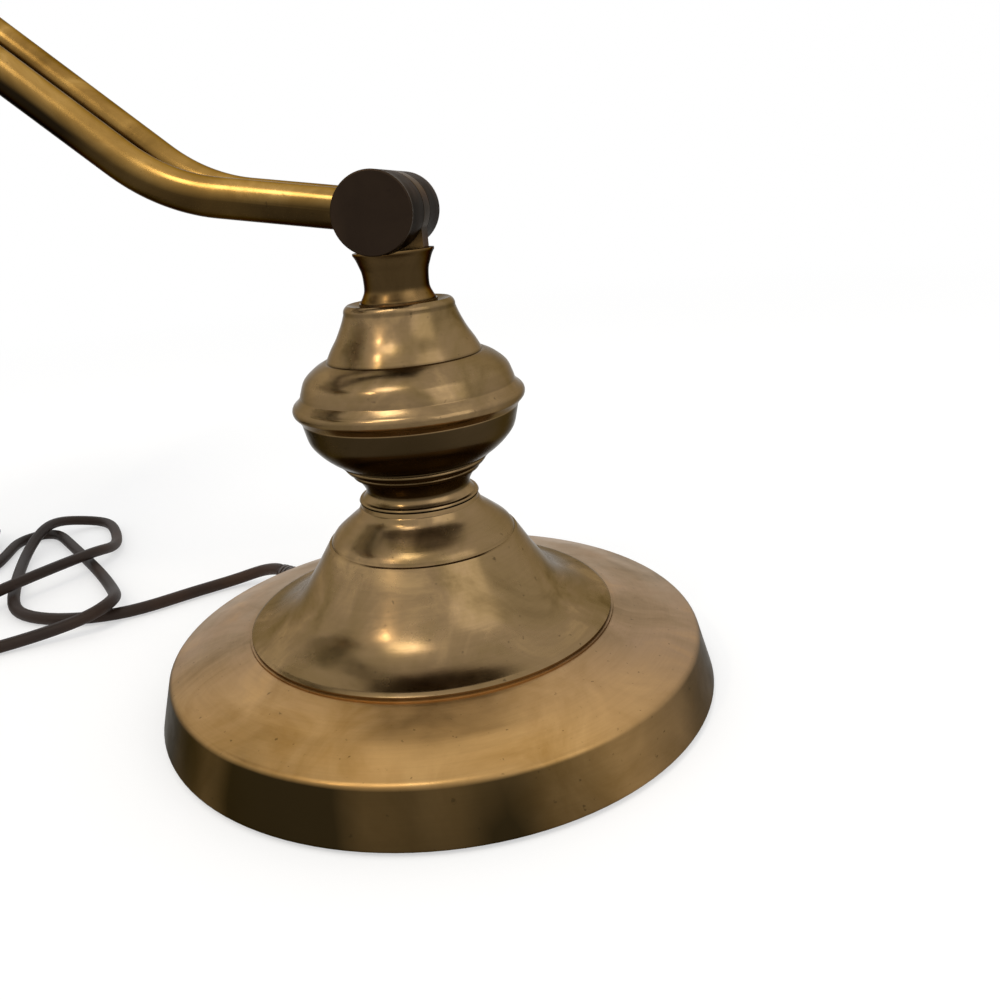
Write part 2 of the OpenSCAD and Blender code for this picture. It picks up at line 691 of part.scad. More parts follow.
// Hollow nipple with its nut outside the ear
module socket_nipple() {
    color(steel) difference() {
        union() {
            rod_y(socket_pos, rod_r, ear_y - 7, socket_y + 6);
            translate([socket_pos[0], ear_y, socket_pos[2]]) rotate([90, 0, 0])
                cylinder(d = 14 / cos(30), h = 4, $fn = 6);
        }
        rod_y(socket_pos, rod_bore / 2, ear_y - 20, socket_y + 20);
    }
}
// Axis along Y from y, turned outline [radius, distance]
module turned_y(y, outline) {
    translate([socket_pos[0], y, socket_pos[2]]) rotate([-90, 0, 0]) rotate_extrude()
        polygon(outline);
}
socket_wall = 0.8;
cap_outline = curve([[socket_r - 9, 0], [socket_r - 5.5, 1.2], [socket_r - 3, 4],
    [socket_r - 1.1, cap_len - 5.5], [socket_r - 0.2, cap_len - 1.5], [socket_r, cap_len]], 4);
module socket_cap() {
    color(brass) turned_y(socket_y, concat([[rod_r, 0]], cap_outline,
        [for (p = reversed(cap_outline)) [p[0] - socket_wall, max(p[1], socket_wall)]],
        [[rod_r, socket_wall]]));
}
module socket_shell() {
    color(brass) difference() {
        turned_y(shell_y, [[socket_r - socket_wall, 0], [socket_r, 0], [socket_r, socket_len - 1],
            [socket_r + 0.4, socket_len - 0.6], [socket_r + 0.4, socket_len],
            [socket_r - socket_wall, socket_len]]);
        knob_hole();
    }
}
module socket_liner() {
    color([0.25, 0.2, 0.15]) difference() {
        turned_y(shell_y, [[socket_r - 1.9, 0], [socket_r - 0.9, 0],
            [socket_r - 0.9, socket_len - 2], [socket_r - 1.9, socket_len - 2]]);
        knob_hole();
    }
}
module knob_hole() {
    translate([socket_pos[0], knob_y, socket_pos[2] - socket_r - 3])
        cylinder(r = knob_shaft_r + 0.6, h = 8, $fn = 48);
}
body_r = 14.4;
body_len = 20;
thread_r = 13.6;
module socket_body() {
    color([0.88, 0.86, 0.8]) difference() {
        turned_y(shell_y + 1, [[0, 0], [body_r, 0], [body_r, body_len], [0, body_len]]);
        // bearing of the switch shaft
        translate([socket_pos[0], knob_y, socket_pos[2] - socket_r])
            cylinder(r = knob_shaft_r + run_fit, h = socket_r - 8, $fn = 48);
    }
}
screw_y = shell_y + 1 + body_len;
module screw_shell() {
    color(brass) turned_y(screw_y, [[thread_r, 0], [thread_r + 0.6, 0],
        [thread_r + 0.6, 14], [thread_r, 14]]);
}
module centre_contact() {
    color(brass) turned_y(screw_y, [[0, 0], [4, 0], [4, 0.8], [2, 1.8], [0, 1.8]]);
}

// Bulb, screwed down on the contact: a spun cap and a thin tubular envelope
bulb_y = screw_y + 1.8;
bulb_cap_r = thread_r - 0.3;
bulb_cap_len = 24;
bulb_cap_t = 0.6;
module bulb_cap() {
    color([0.75, 0.72, 0.62]) turned_y(bulb_y, [[0, 0], [4.5, 0], [5.5, 1.5],
        [bulb_cap_r - 1.7, 4], [bulb_cap_r, 5.5], [bulb_cap_r, bulb_cap_len],
        [bulb_cap_r - bulb_cap_t, bulb_cap_len], [bulb_cap_r - bulb_cap_t, 6],
        [bulb_cap_r - 2.2, 4.9], [5, 2.4], [0, 2.4]]);
}
bulb_r = bulb_d / 2;
bulb_round = 14;
bulb_swell = 18;    // how far from the cap the glass reaches its full width
bulb_wall = 0.9;
bulb_neck_y = bulb_y + bulb_cap_len;
function bulb_line(w) = concat([[bulb_cap_r - w, 0]],
    curve([[bulb_cap_r + 0.1 - w, 1], [bulb_cap_r + 0.4 - w, 4], [bulb_r - 0.6 - w, bulb_swell - 6],
        [bulb_r - w, bulb_swell]], 4),
    arc([bulb_r - bulb_round, bulb_len - bulb_round], bulb_round - w, 0, 90, 10),
    [[0, bulb_len - w]]);
module bulb_glass() {
    color([0.95, 0.95, 0.92])
        turned_y(bulb_neck_y, concat(bulb_line(0), reversed(bulb_line(bulb_wall))));
}

// Turn knob on a shaft that reaches into the switch
knob_h = 12;
shaft_in = 8.4;
module switch_knob() {
    color([0.1, 0.08, 0.07]) translate([socket_pos[0], knob_y, 0]) union() {
        translate([0, 0, socket_pos[2] - socket_r - 4 - knob_h]) difference() {
            cylinder(d = knob_d, h = knob_h, $fn = 64);
            for (a = [0 : 20 : 359]) rotate([0, 0, a]) translate([knob_d / 2 + 0.3, 0, -1])
                cylinder(r = 0.9, h = knob_h + 2, $fn = 24);
        }
        translate([0, 0, socket_pos[2] - socket_r - 4.5])
            cylinder(r = knob_shaft_r, h = socket_r + 4.5 - shaft_in, $fn = 48);
    }
}

// Cord

// Tube along a line of points, sides corners round
module swept(line, r, sides) {
    n = len(line);
    rings = [for (i = [0 : n - 1])
        let (t = unit(line[min(i + 1, n - 1)] - line[max(i - 1, 0)]),
             u = unit(cross(t, [0, 0, 1])), v = cross(u, t))
        for (k = [0 : sides - 1]) line[i] + r * (u * cos(360 * k / sides + 180 / sides)
            + v * sin(360 * k / sides + 180 / sides))];
    polyhedron(rings, concat(
        [for (i = [0 : n - 2], k = [0 : sides - 1]) let (a = i * sides + k,
            b = i * sides + (k + 1) % sides) each [[a, b, b + sides], [a, b + sides, a + sides]]],
        [for (k = [1 : sides - 2]) [0, k + 1, k]],
        [for (k = [1 : sides - 2]) let (e = (n - 1) * sides) [e, e + k, e + k + 1]]));
}

// Centre line of the hank at turn t, clockwise from the middle of its lower fold
run_top = hank_mid[1] + hank_run / 2;
run_low = hank_mid[1] - hank_run / 2;
function fold(t) = hank_r - hank_step * (hank_turns / 2 - abs(t - hank_turns / 2));
function drawn(f) = pow(sin(180 * f), 2);
climb_at = hank_turns / 2 - 0.23;
function climb(t) = let (s = min(max((t - climb_at) / 0.26, 0), 1)) s * s * (3 - 2 * s);
function hank_point(t) = let (p = t - floor(t), r = fold(t),
        f = p < 0.5 ? (p - 0.1) / 0.3 : (p - 0.6) / 0.3,
        w = f > 0 && f < 1 ? drawn(f) : 0,
        z = cord_z + layer_h * climb(t) + 0.6 * w)
    p < 0.1 ? [hank_mid[0] - r * sin(900 * p), run_low - r * cos(900 * p), z]
    : p < 0.4 ? [hank_mid[0] - r + hank_pinch * w, run_low + hank_run * f, z]
    : p < 0.6 ? [hank_mid[0] - r * cos(900 * (p - 0.4)), run_top + r * sin(900 * (p - 0.4)), z]
    : p < 0.9 ? [hank_mid[0] + r - hank_pinch * w, run_top - hank_run * f, z]
    : [hank_mid[0] + r * cos(900 * (p - 0.9)), run_low - r * sin(900 * (p - 0.9)), z];
hank_rings = 24;
hank_count = round(hank_turns * hank_rings);
hank_body = [for (i = [0 : hank_count]) hank_point(hank_turns * i / hank_count)];
hank_start = hank_body[0];
hank_end = hank_body[hank_count];
hank_in = unit([-1, 0, 0]);
hank_way = hank_end - hank_body[hank_count - 1];
hank_out = unit([hank_way[0], hank_way[1], 0]);
hank_line = concat([hank_start - hank_in * cord_d], hank_body, [hank_end + hank_out * cord_d]);

// Least gap of the hank to itself, on points more than half a turn apart along the cord
fine = [for (i = [0 : 4 * hank_count]) hank_point(hank_turns * i / (4 * hank_count))];
fine_gap = min([for (i = [0 : len(fine) - 1], k = [i + 2 * hank_rings : len(fine) - 1])
    norm(fine[i] - fine[k])]) - cord_d;
echo(least_gap_of_hank = fine_gap);
function line_len(p) = len(p) < 2 ? 0
    : [for (i = 1, s = norm(p[1] - p[0]); i < len(p); i = i + 1,
        s = i < len(p) ? s + norm(p[i] - p[i - 1]) : s) s][len(p) - 2];

// The lead runs from inside the bushing to the hank, the tail from the hank to the plug, and
// both run straight where they meet the hank and the plug
exit_dir = [cos(exit_angle), sin(exit_angle), 0];
function exit_point(d) = exit_dir * (wall_at(exit_z) + d) + [0, 0, exit_z];
hank_first = hank_line[0];
hank_last = hank_line[len(hank_line) - 1];
lead_line = concat([exit_point(-bushing_in)], curve(concat([exit_point(bushing_out)],
    lead_route, [hank_first - hank_in * cord_d]), 2), [hank_first]);
tail_line = concat([hank_last], curve(concat([hank_last + hank_out * cord_d], tail_route,
    [plug_pos + [0, cord_d, 0]]), 2), [plug_pos]);
echo(lead = line_len(lead_line), hank = line_len(hank_line), tail = line_len(tail_line));

module cord_lead() {
    color([0.2, 0.13, 0.09]) swept(lead_line, cord_r, 8);
}
module cord_hank() {
    color([0.2, 0.13, 0.09]) swept(hank_line, cord_r, 6);
}
module cord_tail() {
    color([0.2, 0.13, 0.09]) swept(tail_line, cord_r, 8);
}

// Band round the waist of the hank
waist = [for (p = fine) if (abs(p[1] - hank_mid[1]) < tie_w) p[0] - hank_mid[0]];
tie_left = cord_r + 0.3 - min(waist);
tie_right = cord_r + 0.3 + max(waist);
tie_high = layer_h + cord_d + 0.9;
module cord_tie() {
    color([0.08, 0.07, 0.07]) translate([hank_mid[0], hank_mid[1] - tie_w / 2, 0]) difference() {
        translate([-tie_left - tie_t, 0, 0])
            cube([tie_left + tie_right + 2 * tie_t, tie_w, tie_high + 2 * tie_t]);
        translate([-tie_left, -eps, tie_t])
            cube([tie_left + tie_right, tie_w + 2 * eps, tie_high]);
    }
}

// Plug with two flat blades; its strain relief starts at plug_pos
plug_h = 14;
relief_len = 20;
blade_len = 17;
blade_gap = 12.7;
blade_w = 6.3;
blade_t = 1.5;
blade_in = 7.9;
body_y = plug_pos[1] - relief_len;
module plug_body() {
    color([0.16, 0.1, 0.07]) difference() {
        translate(plug_pos) union() {
            rotate([90, 0, 0]) cylinder(r1 = cord_r + 0.6, r2 = cord_r + 2.4,
                h = relief_len - 4, $fn = 48);
            translate([0, 4 - relief_len, 0]) rotate([90, 0, 0])
                cylinder(r1 = cord_r + 2.4, r2 = plug_h / 2 - 0.3, h = 4, $fn = 48);
            translate([0, -relief_len, 0]) rotate([90, 0, 0]) linear_extrude(plug_len)
                plug_outline(plug_w, plug_h);
        }
        for (s = [-1, 1]) translate([plug_pos[0] + s * blade_gap / 2 - blade_t / 2 - 0.05,
            body_y - plug_len - eps, plug_pos[2] - blade_w / 2 - 0.05])
            cube([blade_t + 0.1, blade_in + 0.1, blade_w + 0.1]);
    }
}
module plug_outline(w, h) {
    for (s = [-1, 1]) translate([s * (w - h) / 2, 0]) circle(d = h, $fn = 48);
    square([w - h, h], center = true);
}
module plug_blades() {
    color([0.75, 0.7, 0.55]) for (s = [-1, 1])
        translate([plug_pos[0] + s * blade_gap / 2 - blade_t / 2, body_y - plug_len - blade_len,
            plug_pos[2] - blade_w / 2]) cube([blade_t, blade_len + blade_in, blade_w]);
}

base_shell();
base_weight();
felt_pad();
clamp_washer();
clamp_nut();
threaded_rod();
cone_weight();
base_cone();
stem_spool();
ball_lower();
ball_upper();
stem_bell();
stem_neck();
cord_bushing();
front_arm_knuckle();
rear_arm_knuckle();
front_tube();
rear_tube();
arm_bolt();
arm_bolt_nut();
arm_washers();
arm_caps();
front_shade_knuckle();
rear_shade_knuckle();
shade_bolt();
shade_bolt_nut();
shade_washers();
shade_caps();
shade_bracket();
shade_cushions();
shade_glass();
shade_screws();
shade_finials();
socket_bracket();
bracket_screws();
socket_nipple();
socket_cap();
socket_shell();
socket_liner();
socket_body();
screw_shell();
centre_contact();
bulb_cap();
bulb_glass();
switch_knob();
cord_lead();
cord_hank();
cord_tail();
cord_tie();
plug_body();
plug_blades();
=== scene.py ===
# %% [markdown]
# A bankers lamp in aged brass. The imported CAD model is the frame: it says where every piece is.
# This script gives each piece its smooth surface and its finish. Lengths are in metres, +Z is
# up, the origin is the middle of the foot, and the arm leaves the stem towards -X.

# %% Load the frame
import json
import math

import bmesh
import bpy
from mathutils import Matrix, Vector


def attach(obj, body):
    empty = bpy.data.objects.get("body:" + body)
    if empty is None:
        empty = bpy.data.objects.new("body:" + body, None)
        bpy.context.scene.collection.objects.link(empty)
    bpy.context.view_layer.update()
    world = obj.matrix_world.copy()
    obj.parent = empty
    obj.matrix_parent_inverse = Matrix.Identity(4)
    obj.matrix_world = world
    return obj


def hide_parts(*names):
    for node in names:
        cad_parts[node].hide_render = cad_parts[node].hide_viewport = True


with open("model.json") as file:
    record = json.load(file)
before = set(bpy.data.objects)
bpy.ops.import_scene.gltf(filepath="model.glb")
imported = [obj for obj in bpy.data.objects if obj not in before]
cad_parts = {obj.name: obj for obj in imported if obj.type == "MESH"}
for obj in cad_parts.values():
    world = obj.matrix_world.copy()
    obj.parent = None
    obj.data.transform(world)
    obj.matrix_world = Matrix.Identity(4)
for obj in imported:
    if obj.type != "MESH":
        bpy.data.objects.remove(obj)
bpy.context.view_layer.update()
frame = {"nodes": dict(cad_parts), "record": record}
MM = 0.001
scene = bpy.context.scene
scene.view_settings.view_transform = "Standard"
body_of_node = {n: body for body, nodes in frame["record"]["behaviour"]["bodies"].items()
                for n in nodes}

# %% [markdown]
# ## Camera
# The photograph looks down on the foot from close by, and the phone was held a little crooked.
# Where the round foot and the stem lie in the picture gives the height, the distance, the tilt
# and the roll. The lens is set by its focal length in pixels, and a small shift puts the middle
# of the lens where it was before the picture was cropped.

# %% Camera
focal_px = 899.42
centre_px = (451.75, 481.28)
image_px = 1000
yaw, pitch, roll, turn = math.radians(2.24), math.radians(17.23), 0.096, math.radians(12.5)

ahead = Vector((math.sin(yaw) * math.cos(pitch), math.cos(yaw) * math.cos(pitch),
                -math.sin(pitch)))
right = Vector((math.cos(yaw), -math.sin(yaw), 0))
down = ahead.cross(right)
right_rolled = right * math.cos(roll) + down * math.sin(roll)
down_rolled = down * math.cos(roll) - right * math.sin(roll)
about_z = Matrix.Rotation(turn, 3, "Z")

camera = bpy.data.objects.new("camera", bpy.data.cameras.new("camera"))
scene.collection.objects.link(camera)
axes = [about_z @ v for v in (right_rolled, -down_rolled, -ahead)]
camera.matrix_world = Matrix.Translation(about_z @ Vector((0, -0.2412, 0.1341))) @ Matrix(
    [[axes[c][r] for c in range(3)] for r in range(3)]).to_4x4()
camera.data.sensor_width = 36
camera.data.lens = focal_px * 36 / image_px
camera.data.shift_x = (image_px / 2 - centre_px[0]) / image_px
camera.data.shift_y = (centre_px[1] - image_px / 2) / image_px
camera.data.clip_start = 0.01
scene.camera = camera
print("camera at", [round(x, 3) for x in camera.matrix_world.translation])

# %% [markdown]
# ## Meshes
# Most pieces of a lamp are turned, bent or swept, so three small helpers make nearly all of
# them: one joins points and faces, one sweeps a section along a line, and one takes a clean,
# smooth copy of a CAD piece. Each stores `grain`, the direction in which the metal was worked:
# round the axis on a turned piece and along it on a tube. The finishes read it for their fine
# streaks. A second attribute is painted shade: it darkens the brass where its faces turn
# sideways or down, standing in for the dark surroundings that they reflect.

# %% Objects, grain and painted shade
def new_object(name, vertices, faces, smooth=True):
    mesh = bpy.data.meshes.new(name)
    mesh.from_pydata([tuple(v) for v in vertices], [], faces)
    bm = bmesh.new()
    bm.from_mesh(mesh)
    bmesh.ops.remove_doubles(bm, verts=bm.verts, dist=1e-7)
    bmesh.ops.recalc_face_normals(bm, faces=bm.faces)
    bm.to_mesh(mesh)
    bm.free()
    mesh.shade_smooth() if smooth else None
    obj = bpy.data.objects.new(name, mesh)
    scene.collection.objects.link(obj)
    return obj


def sharpen(obj, degrees=32):
    """Smooth shading that stops at edges sharper than that."""
    bm = bmesh.new()
    bm.from_mesh(obj.data)
    limit = math.radians(degrees)
    for f in bm.faces:
        f.smooth = True
    for e in bm.edges:
        e.smooth = len(e.link_faces) == 2 and e.calc_face_angle(0) < limit
    bm.to_mesh(obj.data)
    bm.free()


def baked(obj):
    """The object with its modifiers turned into plain mesh."""
    graph = bpy.context.evaluated_depsgraph_get()
    mesh = bpy.data.meshes.new_from_object(obj.evaluated_get(graph), depsgraph=graph,
                                           preserve_all_data_layers=True)
    obj.modifiers.clear()
    obj.data = mesh
    return obj


def add_grain(obj, worked="cast", axis=(0, 0), under=0.75):
    """worked: 'z' or 'y' for a piece turned about that axis through axis, or 'cast'."""
    mesh = obj.data
    grain, painted_shade = [], []
    for v, normal in zip(mesh.vertices, [n.vector.copy() for n in mesh.vertex_normals]):
        p = v.co
        if worked == "z":
            radius = math.hypot(p.x - axis[0], p.y - axis[1])
            grain += [radius + 0.04 * p.x, p.z + 0.04 * p.y, 0.04 * p.x]
        elif worked == "y":
            radius = math.hypot(p.x - axis[0], p.z - axis[1])
            grain += [radius + 0.04 * p.x, p.y + 0.04 * p.z, 0.04 * p.x]
        else:
            grain += [p.x, p.y, p.z]
        # Painted shade: faces that turn sideways or down get a dark share, scaled by under,
        # standing in for the dark surroundings they reflect.
        low = min(max((0.50 - normal.z) / 0.45, 0), 1)
        painted_shade.append(under * low * low * (3 - 2 * low))
    mesh.attributes.new("grain", "FLOAT_VECTOR", "POINT").data.foreach_set("vector", grain)
    mesh.attributes.new("painted_shade", "FLOAT", "POINT").data.foreach_set("value", painted_shade)


def finish_piece(obj, material, node_names, body):
    """Material, body and CAD nodes of a piece."""
    obj.data.materials.clear()
    obj.data.materials.append(material)
    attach(obj, body)
    if node_names:
        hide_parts(*node_names)
    return obj


def smooth_copy(node, material, worked="cast", axis=(0, 0), degrees=32, under=0.75,
                bevel=0.0):
    """A clean copy of a CAD piece with shared points, smooth faces and softened edges."""
    source = frame["nodes"][node]
    obj = bpy.data.objects.new(node + "_piece", source.data.copy())
    scene.collection.objects.link(obj)
    bm = bmesh.new()
    bm.from_mesh(obj.data)
    bmesh.ops.remove_doubles(bm, verts=bm.verts, dist=2e-6)
    bmesh.ops.dissolve_degenerate(bm, dist=1e-7, edges=bm.edges)
    bm.to_mesh(obj.data)
    bm.free()
    if obj.data.has_custom_normals:
        obj.data.attributes.remove(obj.data.attributes["custom_normal"])
    if bevel:
        soften = obj.modifiers.new("soften", "BEVEL")
        soften.width, soften.segments = bevel, 3
        soften.limit_method, soften.angle_limit = "ANGLE", math.radians(50)
        soften.use_clamp_overlap = True
        baked(obj)
    sharpen(obj, degrees)
    weigh = obj.modifiers.new("weigh", "WEIGHTED_NORMAL")
    weigh.keep_sharp, weigh.weight = True, 50
    baked(obj)
    add_grain(obj, worked, axis, under)
    finish_piece(obj, material, [node], body_of_node[node])
    return obj


# %% Lines and sweeps
def between(a, b, c, d, t):
    return 0.5 * ((2 * b) + (c - a) * t + (2 * a - 5 * b + 4 * c - d) * t * t
                  + (3 * b - a - 3 * c + d) * t * t * t)


def curve(points, steps):
    """Smooth line through points, in the same way as in the part's source."""
    p = [Vector(q) for q in points]
    line = []
    for i in range(len(p) - 1):
        a, b, c, d = p[max(i - 1, 0)], p[i], p[i + 1], p[min(i + 2, len(p) - 1)]
        line += [between(a, b, c, d, k / steps) for k in range(steps)]
    return line + [p[-1]]


def sweep(name, line, section):
    """Closed tube along line. section: points (sideways, up) in metres, anticlockwise."""
    vertices, faces, grains = [], [], []
    count, along = len(section), 0.0
    for i, p in enumerate(line):
        way = (line[min(i + 1, len(line) - 1)] - line[max(i - 1, 0)]).normalized()
        side = way.cross(Vector((0, 0, 1))).normalized()
        up = side.cross(way)
        if i:
            along += (p - line[i - 1]).length
        vertices += [p + side * x + up * z for x, z in section]
        grains += [(x, z, along) for x, z in section]
    for i in range(len(line) - 1):
        for k in range(count):
            a, b = i * count + k, i * count + (k + 1) % count
            faces.append((a, b, b + count, a + count))
    faces.append(tuple(range(count - 1, -1, -1)))
    faces.append(tuple((len(line) - 1) * count + k for k in range(count)))
    mesh = bpy.data.meshes.new(name)
    mesh.from_pydata([tuple(v) for v in vertices], [], faces)
    grain = mesh.attributes.new("grain", "FLOAT_VECTOR", "POINT")
    for i, g in enumerate(grains):
        grain.data[i].vector = g
    bm = bmesh.new()
    bm.from_mesh(mesh)
    bmesh.ops.recalc_face_normals(bm, faces=bm.faces)
    bm.to_mesh(mesh)
    bm.free()
    obj = bpy.data.objects.new(name, mesh)
    scene.collection.objects.link(obj)
    sharpen(obj, 50)
    return obj


# %% [markdown]
# ## Cord
# A limp lamp cord, 4.6 mm across, with the two lobes of a moulded twin lead. It leaves the back
# of the base, loops over itself as in the photograph, and goes out of the picture to the left.
# What the picture doesn't show is folded into a hank with a band round its waist, and the plug
# lies beside it. The line repeats the points of the part's source.

# %% Route of the cord
cord_d = 0.0046
cord_r = cord_d / 2
exit_angle = math.radians(138)
exit_dir = Vector((math.cos(exit_angle), math.sin(exit_angle), 0))
mouth = exit_dir * 0.0928 + Vector((0, 0, 0.0076))
lead_route = [
    (-0.0722, 0.0650, 0.0076), (-0.0805, 0.0695, 0.0052), (-0.0910, 0.0675, 0.0025),
    (-0.1050, 0.0560, 0.0023), (-0.1215, 0.0410, 0.0023), (-0.1430, 0.0355, 0.0023),
    (-0.1630, 0.0395, 0.0023), (-0.1780, 0.0545, 0.0023), (-0.2000, 0.0960, 0.0027),
    (-0.2040, 0.1170, 0.0074), (-0.2035, 0.1300, 0.0072), (-0.1975, 0.1398, 0.0040),
    (-0.1875, 0.1410, 0.0024), (-0.1780, 0.1330, 0.0023), (-0.1670, 0.1160, 0.0023),
    (-0.1618, 0.1020, 0.0042), (-0.1625, 0.0865, 0.0077), (-0.1795, 0.0520, 0.0076),
    (-0.1900, 0.0390, 0.0046), (-0.2035, 0.0370, 0.0025), (-0.2125, 0.0480, 0.0023),
    (-0.2120, 0.0670, 0.0023), (-0.2090, 0.0860, 0.0023), (-0.2130, 0.1030, 0.0023),
    (-0.2165, 0.1165, 0.0023), (-0.2115, 0.1255, 0.0023), (-0.2020, 0.1255, 0.0023),
    (-0.1890, 0.1135, 0.0023), (-0.1710, 0.0955, 0.0023), (-0.1530, 0.0770, 0.0023),
    (-0.1365, 0.0570, 0.0039), (-0.1265, 0.0410, 0.0077), (-0.1280, 0.0305, 0.0073),
    (-0.1380, 0.0250, 0.0046), (-0.1550, 0.0160, 0.0023), (-0.1750, 0.0040, 0.0023),
    (-0.2080, 0.0035, 0.0023)]
tail_route = [
    (-0.2306, 0.0795, 0.0076), (-0.2309, 0.0730, 0.0076), (-0.2298, 0.0660, 0.0076),
    (-0.2272, 0.0575, 0.0076), (-0.2240, 0.0490, 0.0076), (-0.2216, 0.0400, 0.0075),
    (-0.2208, 0.0300, 0.0075), (-0.2210, 0.0200, 0.0074), (-0.2215, 0.0100, 0.0074)]
plug_tip = Vector((-0.2220, -0.0050, 0.0070))
hank_x, hank_y, hank_run = -0.248, 0.0685, 0.070
hank_r, hank_step, hank_pinch = 0.025, 0.006, 0.012
hank_turns, hank_rings, layer_h = 3.66, 24, cord_d + 0.0006


def hank_point(t):
    """Centre of the cord in the hank after t turns, from the middle of its lower fold."""
    p = t % 1
    r = hank_r - hank_step * (hank_turns / 2 - abs(t - hank_turns / 2))
    f = (p - 0.1) / 0.3 if p < 0.5 else (p - 0.6) / 0.3
    drawn = math.sin(math.pi * f) ** 2 if 0 < f < 1 else 0
    s = min(max((t - (hank_turns / 2 - 0.23)) / 0.26, 0), 1)
    z = cord_r + layer_h * s * s * (3 - 2 * s) + 0.0006 * drawn
    top, low = hank_y + hank_run / 2, hank_y - hank_run / 2
    if p < 0.1:
        a = math.radians(900 * p)
        return Vector((hank_x - r * math.sin(a), low - r * math.cos(a), z))
    if p < 0.4:
        return Vector((hank_x - r + hank_pinch * drawn, low + hank_run * f, z))
    if p < 0.6:
        a = math.radians(900 * (p - 0.4))
        return Vector((hank_x - r * math.cos(a), top + r * math.sin(a), z))
    if p < 0.9:
        return Vector((hank_x + r - hank_pinch * drawn, top - hank_run * f, z))
    a = math.radians(900 * (p - 0.9))
    return Vector((hank_x + r * math.cos(a), low - r * math.sin(a), z))


hank_count = round(hank_turns * hank_rings)
hank = [hank_point(hank_turns * i / (2 * hank_count)) for i in range(2 * hank_count + 1)]
way_in = Vector((-1, 0, 0))
way_out = hank[-1] - hank[-3]
way_out = Vector((way_out.x, way_out.y, 0)).normalized()
hank_first = hank[0] - way_in * cord_d
hank_last = hank[-1] + way_out * cord_d
start = mouth - exit_dir * 0.004
lead = [start] + curve([mouth] + lead_route + [hank_first - way_in * cord_d], 5) + [hank_first]
tail = [hank_last] + curve([hank_last + way_out * cord_d] + tail_route
                           + [plug_tip + Vector((0, cord_d, 0))], 4) + [plug_tip]
cord_line = lead + hank + tail


def relaxed(line, passes, fixed):
    """The line with its corners eased, as limp cord eases them; fixed points stay."""
    for _ in range(passes):
        line = [p if k in fixed else (line[k - 1] + 2 * p + line[k + 1]) / 4
                for k, p in enumerate(line)]
    return line


hank_places = set(range(len(lead) - 2, len(lead) + len(hank) + 2))
cord_line = relaxed(cord_line, 4, hank_places | {0, 1, len(cord_line) - 2, len(cord_line) - 1})

# %% Section and body of the cord
section = []
for k in range(20):
    a = 2 * math.pi * k / 20
    groove = math.exp(-((abs(math.sin(a)) - 1) / 0.03) ** 2)
    thick = cord_r - 0.0001 * math.sin(a) ** 2 - 0.00022 * groove
    section.append((math.cos(a) * thick, math.sin(a) * thick))
lamp_cord = sweep("lamp_cord", cord_line, section)
print("cord faces:", len(lamp_cord.data.polygons))

# %% [markdown]
# ## Finishes
# Every finish is made of noise on the piece's own coordinates, so it stays on the piece when
# the arm moves. Aged brass is the main one: patches of brown, olive and rosy lacquer, fine
# streaks along `grain`, dark spots, and painted shade on the sides and undersides; the foot also
# has a painted golden reflection on its front side.

# %% Small helpers for node trees
def linear(red, green, blue):
    """A colour picked on the screen, 0 to 255, as the shader wants it."""
    return tuple(c / 255 / 12.92 if c < 10.3 else ((c / 255 + 0.055) / 1.055) ** 2.4
                 for c in (red, green, blue)) + (1,)


def material(name, color, metal=0.0, rough=0.5):
    m = bpy.data.materials.new(name)
    m.use_nodes = True
    shader = m.node_tree.nodes["Principled BSDF"]
    shader.inputs["Base Color"].default_value = color
    shader.inputs["Metallic"].default_value = metal
    shader.inputs["Roughness"].default_value = rough
    m.diffuse_color = color
    return m, m.node_tree, shader


def add(tree, kind, values=(), **settings):
    node = tree.nodes.new(kind)
    for key, value in settings.items():
        setattr(node, key, value)
    for key, value in dict(values).items():
        if isinstance(value, bpy.types.NodeSocket):
            tree.links.new(value, node.inputs[key])
        else:
            node.inputs[key].default_value = value
    return node


def noise(tree, where, scale, detail=4, rough=0.55, distortion=0.0):
    return add(tree, "ShaderNodeTexNoise", {"Vector": where, "Scale": scale, "Detail": detail,
               "Roughness": rough, "Distortion": distortion}).outputs["Fac"]


def ramp(tree, fac, stops):
    node = add(tree, "ShaderNodeValToRGB", {"Fac": fac})
    points = node.color_ramp.elements
    while len(points) < len(stops):
        points.new(0.5)
    for point, (place, color) in zip(points, stops):
        point.position, point.color = place, color
    return node.outputs["Color"]


def spread(tree, value, low, high, from_low=0.0, from_high=1.0):
    return add(tree, "ShaderNodeMapRange", {"Value": value, "From Min": from_low,
               "From Max": from_high, "To Min": low, "To Max": high}).outputs["Result"]


def mix(tree, fac, a, b, how="MIX"):
    node = add(tree, "ShaderNodeMix", data_type="RGBA", blend_type=how)
    for index, value in ((0, fac), (6, a), (7, b)):
        if isinstance(value, bpy.types.NodeSocket):
            tree.links.new(value, node.inputs[index])
        else:
            node.inputs[index].default_value = value
    return node.outputs[2]


def times(tree, a, b):
    node = add(tree, "ShaderNodeMath", operation="MULTIPLY")
    for index, value in ((0, a), (1, b)):
        if isinstance(value, bpy.types.NodeSocket):
            tree.links.new(value, node.inputs[index])
        else:
            node.inputs[index].default_value = value
    return node.outputs[0]


def bump(tree, shader, height, strength, distance):
    node = add(tree, "ShaderNodeBump", {"Height": height, "Strength": strength,
               "Distance": distance})
    tree.links.new(node.outputs["Normal"], shader.inputs["Normal"])


def object_coords(tree):
    return tree.nodes.new("ShaderNodeTexCoord").outputs["Object"]


def attribute(tree, name, output="Vector"):
    return add(tree, "ShaderNodeAttribute", attribute_name=name).outputs[output]


